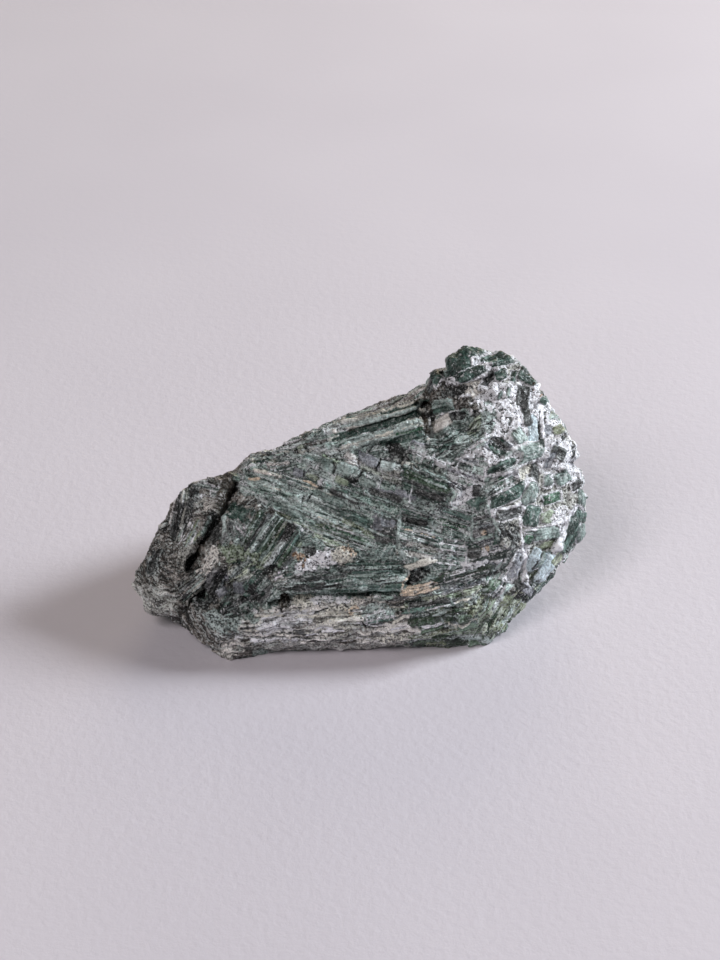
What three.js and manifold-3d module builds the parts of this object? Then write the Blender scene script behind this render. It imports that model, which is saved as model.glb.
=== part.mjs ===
// A rough hand specimen of actinolite: bladed green crystals grown together
// with talc and schist matrix into one solid, resting on a small worn flat.
// Millimetres, +Z up. +X runs along the specimen, from its narrow schist lobe
// to its broad talc-coated head. The display face looks towards -Y and up.
import * as THREE from "three";
import { ConvexGeometry } from "three/addons/geometries/ConvexGeometry.js";
import { mergeVertices } from "three/addons/utils/BufferGeometryUtils.js";
import Module from "manifold-3d";

const wasm = await Module();
wasm.setup();

// Driving dimensions
const LENGTH = 100; // overall, along X
const REST_HEIGHT = 0.5; // how much of the lowest bulges is worn to the rest flat
const FACE_TILT = THREE.MathUtils.degToRad(35); // how far the direction of every face rises above the horizon
const WELD = 1e-4; // corners nearer than this are one corner

// The chunks of rock, each a convex block of [x, y, z] corners. They overlap
// and are joined; the creases where they meet are the specimen's own.
const BLOCKS = {
  fan: [
    [-33, 5, 2], [-34, 4, 13], [-32, 14, 22], [-33, 27, 27.5], [-33, 37, 22], [-33, 41, 10],
    [-12, 4, 1], [-9, 1, 13], [-14, 7, 21.5], [-10, 21, 31.5], [-12, 34, 37.5], [-13, 43, 30],
    [-12, 52, 18], [-12, 50, 4], [16, 6, 1], [18, 3, 12], [14, 10, 25], [17, 23, 36.5],
    [15, 40, 43], [16, 50, 37.5], [16, 58, 22], [16, 55, 4], [-33, 35, 0], [16, 50, 0],
  ],
  head: [
    [8, 6, 1], [9, 4, 13], [6, 14, 28], [9, 29, 39.5], [8, 39.5, 41], [11, 51, 34], [8, 58, 16],
    [33, 11, 2], [35, 10, 12], [32, 11, 24], [28, 20, 37], [23, 33, 45.5], [29, 45, 50],
    [33, 54, 44], [35, 61, 26], [30, 59, 5], [43, 21, 8], [43.5, 20, 20], [41, 24, 33],
    [38, 34, 43.5], [42.5, 44, 37.5], [44, 53, 26], [41, 52, 7], [50, 27, 15], [50, 26.5, 26],
    [47.6, 32, 35.5], [47, 42, 29], [48, 44, 15], [40, 40, 1], [30, 48, 0],
  ],
  crown: [
    [19.5, 38, 45.5], [21, 45, 49.2], [24, 47, 52.2], [28, 47, 51], [33, 45, 50.5], [37, 42, 48],
    [40.5, 37, 43], [30, 35, 47], [20, 35, 44], [26, 52, 46], [36, 50, 43], [20, 46, 44],
  ],
  lobe: [
    [-50.5, 12, 12], [-48.4, 16, 14.5], [-45.4, 19, 19.5], [-41.6, 24.5, 25.2], [-37.5, 27.5, 28],
    [-33, 28.5, 29.5], [-31, 20, 25], [-33, 13, 17], [-37, 8, 11], [-42, 8.5, 8],
    [-46.5, 11.5, 6.2], [-48.5, 13.5, 7.5], [-41, 12, 3.5], [-36, 14, 3], [-47, 23, 12], [-42, 31, 17],
    [-35, 37, 20], [-36, 38, 8], [-42, 30, 4], [-27, 30, 29], [-27.5, 24, 28], [-30, 13, 20],
  ],
  heel: [
    [-39, 6, 5.5], [-36, 4.5, 3], [-31.5, 1.5, 0.6], [-28.5, 0, 0], [-24, 1, 0.2], [-15, 5, 0],
    [-36, 6, 14], [-29, -0.5, 9], [-20, -1, 10], [-16, 4, 15], [-20, 14, 0], [-33, 14, 1],
  ],
  sill: [
    [-25, 2.4, 0.6], [-25, -0.6, 4.5], [-24, -0.5, 10.5], [-20, 4, 14], [20, 5, 0.6], [20, 2, 5],
    [19, 1.5, 11], [18, 5, 14], [-5, 0, 6], [-5, -0.2, 11.5], [-22, 12, 0], [18, 14, 0],
  ],
  toe: [
    [7, 5, 0.6], [6, 0.6, 6], [8, 0.5, 13], [20, 4.4, 0.2], [27, 5.6, 1], [31.5, 9.4, 2],
    [36, 14, 6], [34, 9, 13], [27, 3.5, 9], [20, 1.4, 12], [26, 6, 18], [36, 18, 14], [30, 22, 0],
  ],
  shoulder: [
    [36, 14, 10], [37, 12.5, 17], [42, 17, 14], [46.5, 21, 17], [49, 24, 19.5], [44, 20, 26],
    [36, 14, 24], [41, 26, 8], [48, 33, 10], [40, 33, 30],
  ],
};

// Cracks cut into the display face: a path of [right, up] points, a width and a depth.
const CRACKS = {
  lobe_crack: { path: [[-27.8, 39.6], [-30, 35], [-33.4, 28.5], [-37.8, 20]], width: 3.2, depth: 7 },
  ridge_end: { path: [[13.2, 56.4], [16.6, 53.6], [15.8, 48.5]], width: 3.2, depth: 4 },
  sill_slot: { path: [[-20, 12.6], [-14, 14.4], [-2, 15], [9, 15.4]], width: 2.4, depth: 3 },
};

// Hollows broken out of the display face: a rim of [right, up] points and a depth.
const HOLLOWS = {
  dark_hollow: { rim: [[-37, 16], [-33, 20], [-26, 19.5], [-20, 15], [-19, 11], [-34, 11]], depth: 4 },
  head_pocket: { rim: [[16.5, 55], [22, 57], [27.5, 54.5], [27, 49], [21, 47.5], [17, 50]], depth: 2.5 },
  crown_pit: { rim: [[25.5, 60.5], [27, 63], [30, 64], [31, 61.5], [28, 59]], depth: 2.2 },
};

// Bundles of parallel crystals: the centre on a face as [right, up], the run of the crystals, and
// rows side by side. blade is [length, width, thickness]; lift is how far a row stands proud.
const BUNDLES = [
  { at: [0.5, 51.2], run: [1, 0.31], rows: 4, pitch: 2.3, blade: [25, 2.6, 4], lift: 0.8 },
  { at: [-14, 43.6], run: [1, 0.22], rows: 3, pitch: 2.4, blade: [20, 2.8, 4], lift: 0.5 },
  { at: [-9, 37.6], run: [1, -0.18], rows: 3, pitch: 3.0, blade: [23, 3.3, 4], lift: 0.5 },
  { at: [-7, 31.2], run: [1, -0.34], rows: 3, pitch: 3.0, blade: [22, 3.2, 4], lift: 0.5 },
  { at: [12, 38.6], run: [1, -0.42], rows: 4, pitch: 3.4, blade: [12, 3.6, 4], lift: 0.8 },
  { at: [14, 26.5], run: [1, -0.25], rows: 3, pitch: 3.4, blade: [13, 3.6, 4], lift: 0.7 },
  { at: [-21, 28.4], run: [0.8, 1], rows: 6, pitch: 2.4, blade: [10, 2.1, 3], lift: 0.7, across: [1, -0.42] },
  { at: [-3, 18.6], run: [1, 0.03], rows: 2, pitch: 3.2, blade: [25, 3.2, 4], lift: 0.8 },
  { at: [24, 15.5], run: [1, 0.26], rows: 3, pitch: 4.2, blade: [15, 4.2, 5], lift: 0.7 },
  { at: [-6, -4], run: [1, -0.3], rows: 6, pitch: 4.4, blade: [26, 4.0, 4], lift: 0.8, face: "back" },
  { at: [18, -12], run: [1, -0.55], rows: 4, pitch: 3.6, blade: [18, 3.4, 4], lift: 0.8, face: "back" },
  { at: [-30, -6], run: [1, 0.5], rows: 5, pitch: 4.2, blade: [15, 3.8, 4], lift: 0.9, face: "back" },
  { at: [0, -24], run: [1, -0.08], rows: 4, pitch: 3.8, blade: [28, 3.4, 4], lift: 0.7, face: "back" },
  { at: [45, -12], run: [1, 0.45], rows: 4, pitch: 4.2, blade: [10, 3.6, 4], lift: 0.7, face: "broad_end" },
  { at: [31, -17], run: [1, 0.55], rows: 4, pitch: 4.2, blade: [12, 3.8, 4], lift: 0.5, face: "broad_end" },
];

// Single crystals: centre and run on the display face, [length, width, thickness], lift.
const CRYSTALS = {
  crown_a: { at: [22.8, 65.6], run: [0.6, 1], blade: [6, 5, 6], lift: 1.8 },
  crown_b: { at: [26.5, 63.2], run: [1, 0.42], blade: [8, 2.6, 4], lift: 1.5 },
  crown_c: { at: [30.2, 67.2], run: [1, 0.3], blade: [9, 3, 4], lift: 1.0 },
  crown_d: { at: [35.5, 63.0], run: [1, -0.7], blade: [7, 3.2, 4], lift: 1.0 },
  block_a: { at: [36.0, 44.5], run: [1, 0.42], blade: [13, 3.6, 5], lift: 1.2 },
  block_b: { at: [32.6, 35.2], run: [1, 0.5], blade: [11, 4.2, 5], lift: 1.2 },
  block_c: { at: [33.4, 28.6], run: [1, 0.22], blade: [8, 6.4, 5], lift: 1.0 },
  block_d: { at: [44.2, 45.4], run: [0.3, 1], blade: [7, 4.6, 5], lift: 1.0 },
  block_e: { at: [41.5, 31.0], run: [1, 0.35], blade: [9, 4.4, 5], lift: 0.9 },
  edge_a: { at: [48.0, 31.0], run: [0.55, 1], blade: [13, 3.4, 5], lift: 1.0 },
  edge_b: { at: [40.4, 22.0], run: [0.75, 1], blade: [10, 3.2, 5], lift: 1.3 },
  edge_c: { at: [37.0, 20.6], run: [0.55, 1], blade: [8, 2.6, 5], lift: 1.0 },
  toe_a: { at: [33.0, 12.5], run: [0.7, 1], blade: [12, 5, 5], lift: 0.9 },
  toe_b: { at: [22.0, 7.0], run: [1, 0.08], blade: [17, 5, 5], lift: 0.7 },
  dark_a: { at: [15.6, 37.0], run: [1, -0.38], blade: [10, 4, 5], lift: 1.2 },
  dark_b: { at: [5.6, 27.4], run: [0.15, 1], blade: [7, 6, 5], lift: 0.7 },
};

function asManifold(geometry) {
  const bare = geometry.clone();
  bare.deleteAttribute("normal");
  bare.deleteAttribute("uv");
  const merged = mergeVertices(bare, WELD);
  return new wasm.Manifold(
    new wasm.Mesh({
      numProp: 3,
      vertProperties: merged.attributes.position.array,
      triVerts: new Uint32Array(merged.index.array),
    }),
  );
}

function asGeometry(solid) {
  const mesh = solid.getMesh();
  return new THREE.BufferGeometry()
    .setAttribute("position", new THREE.BufferAttribute(mesh.vertProperties, 3))
    .setIndex(new THREE.BufferAttribute(mesh.triVerts, 1));
}

function wedge(corners) {
  return asManifold(new ConvexGeometry(corners.map((c) => new THREE.Vector3(...c))));
}

// A side of the rock that features are placed on: its outward direction, and its own right and up.
// Azimuth 0 looks along +Y at the display face, and 90 looks at the broad end.
function faceFrame(azimuth) {
  const turn = THREE.MathUtils.degToRad(azimuth);
  const right = new THREE.Vector3(Math.cos(turn), Math.sin(turn), 0);
  const level = new THREE.Vector3(Math.sin(turn), -Math.cos(turn), 0);
  const out = level.multiplyScalar(Math.cos(FACE_TILT)).setZ(Math.sin(FACE_TILT));
  return { out, right, up: new THREE.Vector3().crossVectors(out, right) };
}

const FACES = { display: faceFrame(0), broad_end: faceFrame(90), back: faceFrame(180) };
const REACH = 200; // farther out than any part of the rock

function facePoint(ground, [across, rise], { out, right, up } = FACES.display) {
  const from = new THREE.Vector3().addScaledVector(right, across).addScaledVector(up, rise);
  const ray = new THREE.Raycaster(from.addScaledVector(out, REACH), out.clone().negate());
  const hit = ray.intersectObject(ground)[0];
  return hit && { point: hit.point, normal: hit.face.normal };
}

// A crystal's flattened six-sided section: [across, out] in widths and thicknesses.
const CRYSTAL_SECTION = [[0.5, -0.1], [0.34, 0], [-0.3, 0], [-0.5, -0.14], [-0.36, -1], [0.36, -1]];
const END_SLANT = 0.3; // how far a broken end leans along the crystal, in crystal widths

// A crystal from end to end, with slanted broken ends.
function crystalSolid(from, to, normal, width, thickness, slant) {
  const along = to.clone().sub(from).normalize();
  const side = new THREE.Vector3().crossVectors(normal, along).normalize();
  const out = new THREE.Vector3().crossVectors(along, side);
  const corners = [[from, -1], [to, 1]].flatMap(([end, sign]) =>
    CRYSTAL_SECTION.map(([s, t]) => {
      const corner = end.clone().addScaledVector(side, s * width).addScaledVector(out, t * thickness);
      return corner.addScaledVector(along, sign * slant * (s - t / 2) * width);
    }),
  );
  return asManifold(new ConvexGeometry(corners));
}

function layCrystal(ground, centre, run, [length, width, thickness], lift, slant, face) {
  const step = new THREE.Vector2(...run).normalize().multiplyScalar(length / 2);
  const ends = [-1, 1].map((sign) =>
    facePoint(ground, [centre[0] + sign * step.x, centre[1] + sign * step.y], face),
  );
  if (!ends[0] || !ends[1]) return null;
  const normal = ends[0].normal.clone().add(ends[1].normal).normalize();
  const [from, to] = ends.map((end) => end.point.clone().addScaledVector(normal, lift));
  return crystalSolid(from, to, normal, width, thickness, slant);
}

// Each row of a bundle is shifted along its run and stands proud by its own amount,
// taken in turn from these lists, so that the rows' ends don't line up.
const ROW_SHIFTS = [-0.12, 0, 0.12, -0.06, 0.06]; // in crystal lengths
const ROW_LIFTS = [0.7, 1.6, 1.3, 1]; // in the bundle's lift

function bundleCrystals(ground, { at, run, rows, pitch, blade, lift, across, face }) {
  const along = new THREE.Vector2(...run).normalize();
  const sideways = across ? new THREE.Vector2(...across).normalize() : new THREE.Vector2(along.y, -along.x);
  return Array.from({ length: rows }, (_, row) => {
    const centre = new THREE.Vector2(...at)
      .addScaledVector(sideways, (row - (rows - 1) / 2) * pitch)
      .addScaledVector(along, ROW_SHIFTS[row % ROW_SHIFTS.length] * blade[0]);
    const proud = ROW_LIFTS[row % ROW_LIFTS.length] * lift;
    const slant = row % 2 ? END_SLANT : -END_SLANT;
    return layCrystal(ground, centre.toArray(), run, blade, proud, slant, FACES[face]);
  });
}

// One wedge for each stretch of a crack's path, open at the face and closing to a line at its depth.
function crackWedges(ground, { path, width, depth }) {
  const { out } = FACES.display;
  const places = path.map((place) => facePoint(ground, place));
  return places.slice(1).map((end, i) => {
    const start = places[i];
    const along = end.point.clone().sub(start.point).normalize();
    const side = new THREE.Vector3().crossVectors(along, out).normalize();
    const corners = [start, end].flatMap(({ point }) => [
      point.clone().addScaledVector(out, depth).addScaledVector(side, width),
      point.clone().addScaledVector(out, depth).addScaledVector(side, -width),
      point.clone().addScaledVector(out, -depth),
    ]);
    return asManifold(new ConvexGeometry(corners));
  });
}

// A shallow bowl whose rim lies on the face and whose bottom is one point at its depth.
function hollowBowl(ground, { rim, depth }) {
  const { out } = FACES.display;
  const places = rim.map((place) => facePoint(ground, place).point);
  const bottom = places.reduce((sum, p) => sum.add(p), new THREE.Vector3()).divideScalar(places.length);
  const mouth = places.map((p) => p.clone().addScaledVector(out, depth));
  return asManifold(new ConvexGeometry([...places, ...mouth, bottom.addScaledVector(out, -depth)]));
}

function rockSolid() {
  const whole = Object.values(BLOCKS).map(wedge).reduce((all, block) => all.add(block));
  const ground = new THREE.Mesh(asGeometry(whole));
  const cuts = [
    ...Object.values(CRACKS).flatMap((crack) => crackWedges(ground, crack)),
    ...Object.values(HOLLOWS).map((hollow) => hollowBowl(ground, hollow)),
  ];
  return cuts.reduce((all, cut) => all.subtract(cut), whole);
}

function withCrystals(rock) {
  const ground = new THREE.Mesh(asGeometry(rock));
  const laid = [
    ...BUNDLES.flatMap((bundle) => bundleCrystals(ground, bundle)),
    ...Object.values(CRYSTALS).map((c) => layCrystal(ground, c.at, c.run, c.blade, c.lift, END_SLANT)),
  ];
  const joined = laid.filter(Boolean).reduce((all, crystal) => all.add(crystal), rock);
  return joined.decompose().sort((a, b) => b.volume() - a.volume())[0]; // fills pockets sealed in by crystals
}

// Cuts the rest flat, and moves the solid so that its box's bottom centre is the origin.
function settled(solid) {
  const box = new THREE.Box3().setFromBufferAttribute(asGeometry(solid).getAttribute("position"));
  const size = box.getSize(new THREE.Vector3());
  const centre = box.getCenter(new THREE.Vector3());
  const floor = new THREE.BoxGeometry(size.x * 2, size.y * 2, size.z);
  floor.translate(centre.x, centre.y, REST_HEIGHT - size.z / 2);
  const geometry = asGeometry(solid.subtract(asManifold(floor)));
  geometry.computeBoundingBox();
  const cut = geometry.boundingBox;
  geometry.translate(-(cut.min.x + cut.max.x) / 2, -(cut.min.y + cut.max.y) / 2, -cut.min.z);
  const scale = LENGTH / (cut.max.x - cut.min.x);
  geometry.scale(scale, scale, scale);
  return geometry;
}

const ACTINOLITE_GREEN = new THREE.MeshStandardMaterial({ color: 0x4f6158, roughness: 0.55, metalness: 0 });

const specimen = new THREE.Group();
const rock = new THREE.Mesh(settled(withCrystals(rockSolid())), ACTINOLITE_GREEN);
rock.name = "actinolite";
specimen.add(rock);

export default specimen;
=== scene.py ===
"""The looks of a rough actinolite specimen: bladed green crystals in bundles, grown through white talc
and grey foliated schist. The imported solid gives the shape; a fine rock skin and its crystals replace it.
"""
import math
from collections import namedtuple

import bmesh
import bpy
import numpy as np
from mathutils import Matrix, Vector, noise


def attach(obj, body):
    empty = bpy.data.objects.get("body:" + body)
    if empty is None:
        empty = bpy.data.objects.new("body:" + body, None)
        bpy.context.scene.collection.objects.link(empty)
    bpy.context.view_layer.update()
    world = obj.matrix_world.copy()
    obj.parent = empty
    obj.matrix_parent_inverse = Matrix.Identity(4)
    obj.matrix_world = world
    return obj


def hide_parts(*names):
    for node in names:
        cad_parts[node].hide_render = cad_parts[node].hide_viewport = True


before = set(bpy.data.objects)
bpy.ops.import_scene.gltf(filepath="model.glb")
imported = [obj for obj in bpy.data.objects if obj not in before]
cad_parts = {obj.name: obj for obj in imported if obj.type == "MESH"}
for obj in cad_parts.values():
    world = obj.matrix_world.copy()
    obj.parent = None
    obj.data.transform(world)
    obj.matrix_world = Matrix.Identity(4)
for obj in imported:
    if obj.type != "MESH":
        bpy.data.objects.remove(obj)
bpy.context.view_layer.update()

MM = 0.001
NODE = "actinolite"

# -------- ways of looking at the rock

AIM = Vector((0, 0.0008, 0.0261))  # the point that every view looks at, in metres
AIM_UP = 40.0  # its height in the millimetres of a view
EYE_DISTANCE = 0.502  # metres


class View:
    """A way of looking at the rock. Places are [right, up] in millimetres on a plane through AIM that
    squarely faces the eye; AIM itself is at [0, AIM_UP]. What is laid from a view reaches as many
    millimetres into the rock as its depth says."""

    def __init__(self, azimuth, elevation, depth=100):
        self.depth = depth
        turn, tilt = math.radians(azimuth), math.radians(elevation)
        level = Vector((math.sin(turn), -math.cos(turn), 0)) * math.cos(tilt)
        self.out = level + Vector((0, 0, math.sin(tilt)))
        self.right = Vector((math.cos(turn), math.sin(turn), 0))
        self.up = self.out.cross(self.right)
        self.eye = AIM + self.out * EYE_DISTANCE

    def places(self, points):
        """Where this view shows each point, as an array of [right, up]."""
        away = points - np.array(self.eye)
        scale = EYE_DISTANCE / (-away @ np.array(self.out)) / MM
        right = away @ np.array(self.right) * scale
        up = away @ np.array(self.up) * scale + AIM_UP
        return np.stack([right, up], axis=1)

    def facing(self, points, normals):
        """How squarely each point faces the eye, from -1 to 1."""
        towards = np.array(self.eye) - points
        towards /= np.linalg.norm(towards, axis=1)[:, None]
        return (normals * towards).sum(axis=1)


DISPLAY = View(0, 35)
BACK = View(180, 30)
BROAD_END = View(90, 20, 26)
LOBE_END = View(270, 20, 26)

# -------- colours and kinds of break

def arrays(table):
    return {name: np.array(values) for name, values in table.items()}


PALETTE = arrays({  # linear RGB
    "pale": (0.39, 0.47, 0.45),
    "mid": (0.168, 0.23, 0.21),
    "dark": (0.019, 0.050, 0.038),
    "vivid": (0.028, 0.095, 0.050),
    "violet": (0.165, 0.178, 0.203),
    "ice": (0.50, 0.61, 0.66),
    "cream": (0.74, 0.73, 0.65),
    "white": (0.93, 0.94, 0.98),
    "ash": (0.44, 0.445, 0.41),
    "rose": (0.73, 0.705, 0.66),
    "tan": (0.70, 0.57, 0.44),
    "rust": (0.33, 0.20, 0.11),
    "schist": (0.078, 0.068, 0.056),
    "moss": (0.21, 0.27, 0.18),
    "forest": (0.028, 0.06, 0.03),
    "slate": (0.034, 0.038, 0.037),
    "umber": (0.050, 0.042, 0.032),
    "olive": (0.24, 0.28, 0.18),
    "black": (0.006, 0.008, 0.008),
})

FINISHES = arrays({  # how much of the surface is crumbly, foliated and fibrous; the rest is glassy
    "crumbly": (1.0, 0.0, 0.0),
    "foliated": (0.0, 1.0, 0.0),
    "fibrous": (0.0, 0.0, 1.0),
    "glassy": (0.08, 0.0, 0.3),
})

# -------- what the rock is made of

# A patch of rock without crystals: an ellipse with a ragged edge (its middle, half its size and its
# turn in degrees), its colour, how deep it is sunk in millimetres, and how it breaks. A swirl is the
# centre that the foliation curves around; without one, the foliation runs along the turn.
Patch = namedtuple("Patch", "at half turn tint depth finish swirl", defaults=(0, "crumbly", None))


def foliated(at, half, turn, tint, swirl=None, depth=0):
    """A patch of foliated rock."""
    return Patch(at, half, turn, tint, depth, "foliated", swirl)


# A bundle of packed parallel crystals in such an ellipse: a crystal's length and width, the colours they
# come in, how far they stand up or down, how many degrees the turn opens out across the bundle, and how
# much talc fills the seams between them.
Bundle = namedtuple("Bundle", "at half turn blade tints lift fan dust", defaults=(0.3, 0, 0.1))

# A single crystal set in the rock: its middle, half its length and width, its turn, its colour, how far
# it stands proud and how wide a rim of talc it has.
Block = namedtuple("Block", "at half turn tint lift rim", defaults=(0.3, 0))

# A seam along a line of places: its width, how deep it is sunk (or, below 0, how proud), and its colour.
Seam = namedtuple("Seam", "path width depth tint")

# Fine lines scattered along the grain inside such an ellipse, in turn of each colour.
Streaks = namedtuple("Streaks", "at half turn count tints")

# An ellipse that swells out by this many millimetres, also where it makes the rock's outline.
Bulge = namedtuple("Bulge", "at half height turn", defaults=(0,))

LOBE_SWIRL = (-41, 22)  # what most of the foliated lobe curves around
HEAD_SWIRL = (17, 63)  # and the foliated rock beside the talc head

DISPLAY_BULGES = (
    Bulge((-45.5, 11), (6, 4), 1.8),
    Bulge((-39.6, 10.2), (3, 3), 1.7),
    Bulge((-25, 44.6), (8, 3), 1.6),
    Bulge((17.6, 61.6), (3.6, 3.6), 2.4),
    Bulge((42.6, 59.5), (5, 4), 2.2),
    Bulge((48.4, 52.4), (3.4, 4), 2),
    Bulge((47.8, 43.6), (2.4, 2), -1.8),
    Bulge((31, 5), (9, 4), 1.2),
    Bulge((31.3, 69), (2.4, 1.6), 1.3),
    Bulge((-32.8, 31.6), (13, 2.2), 1.5, 64),
    Bulge((-21.4, 34.7), (1.5, 1.5), -0.8),
    Bulge((-35.2, 29.6), (1.2, 1.4), -0.6),
    Bulge((22.4, 70.2), (1.6, 1.6), -1),
    Bulge((20.2, 66.6), (2, 2.6), 1),
)

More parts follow.
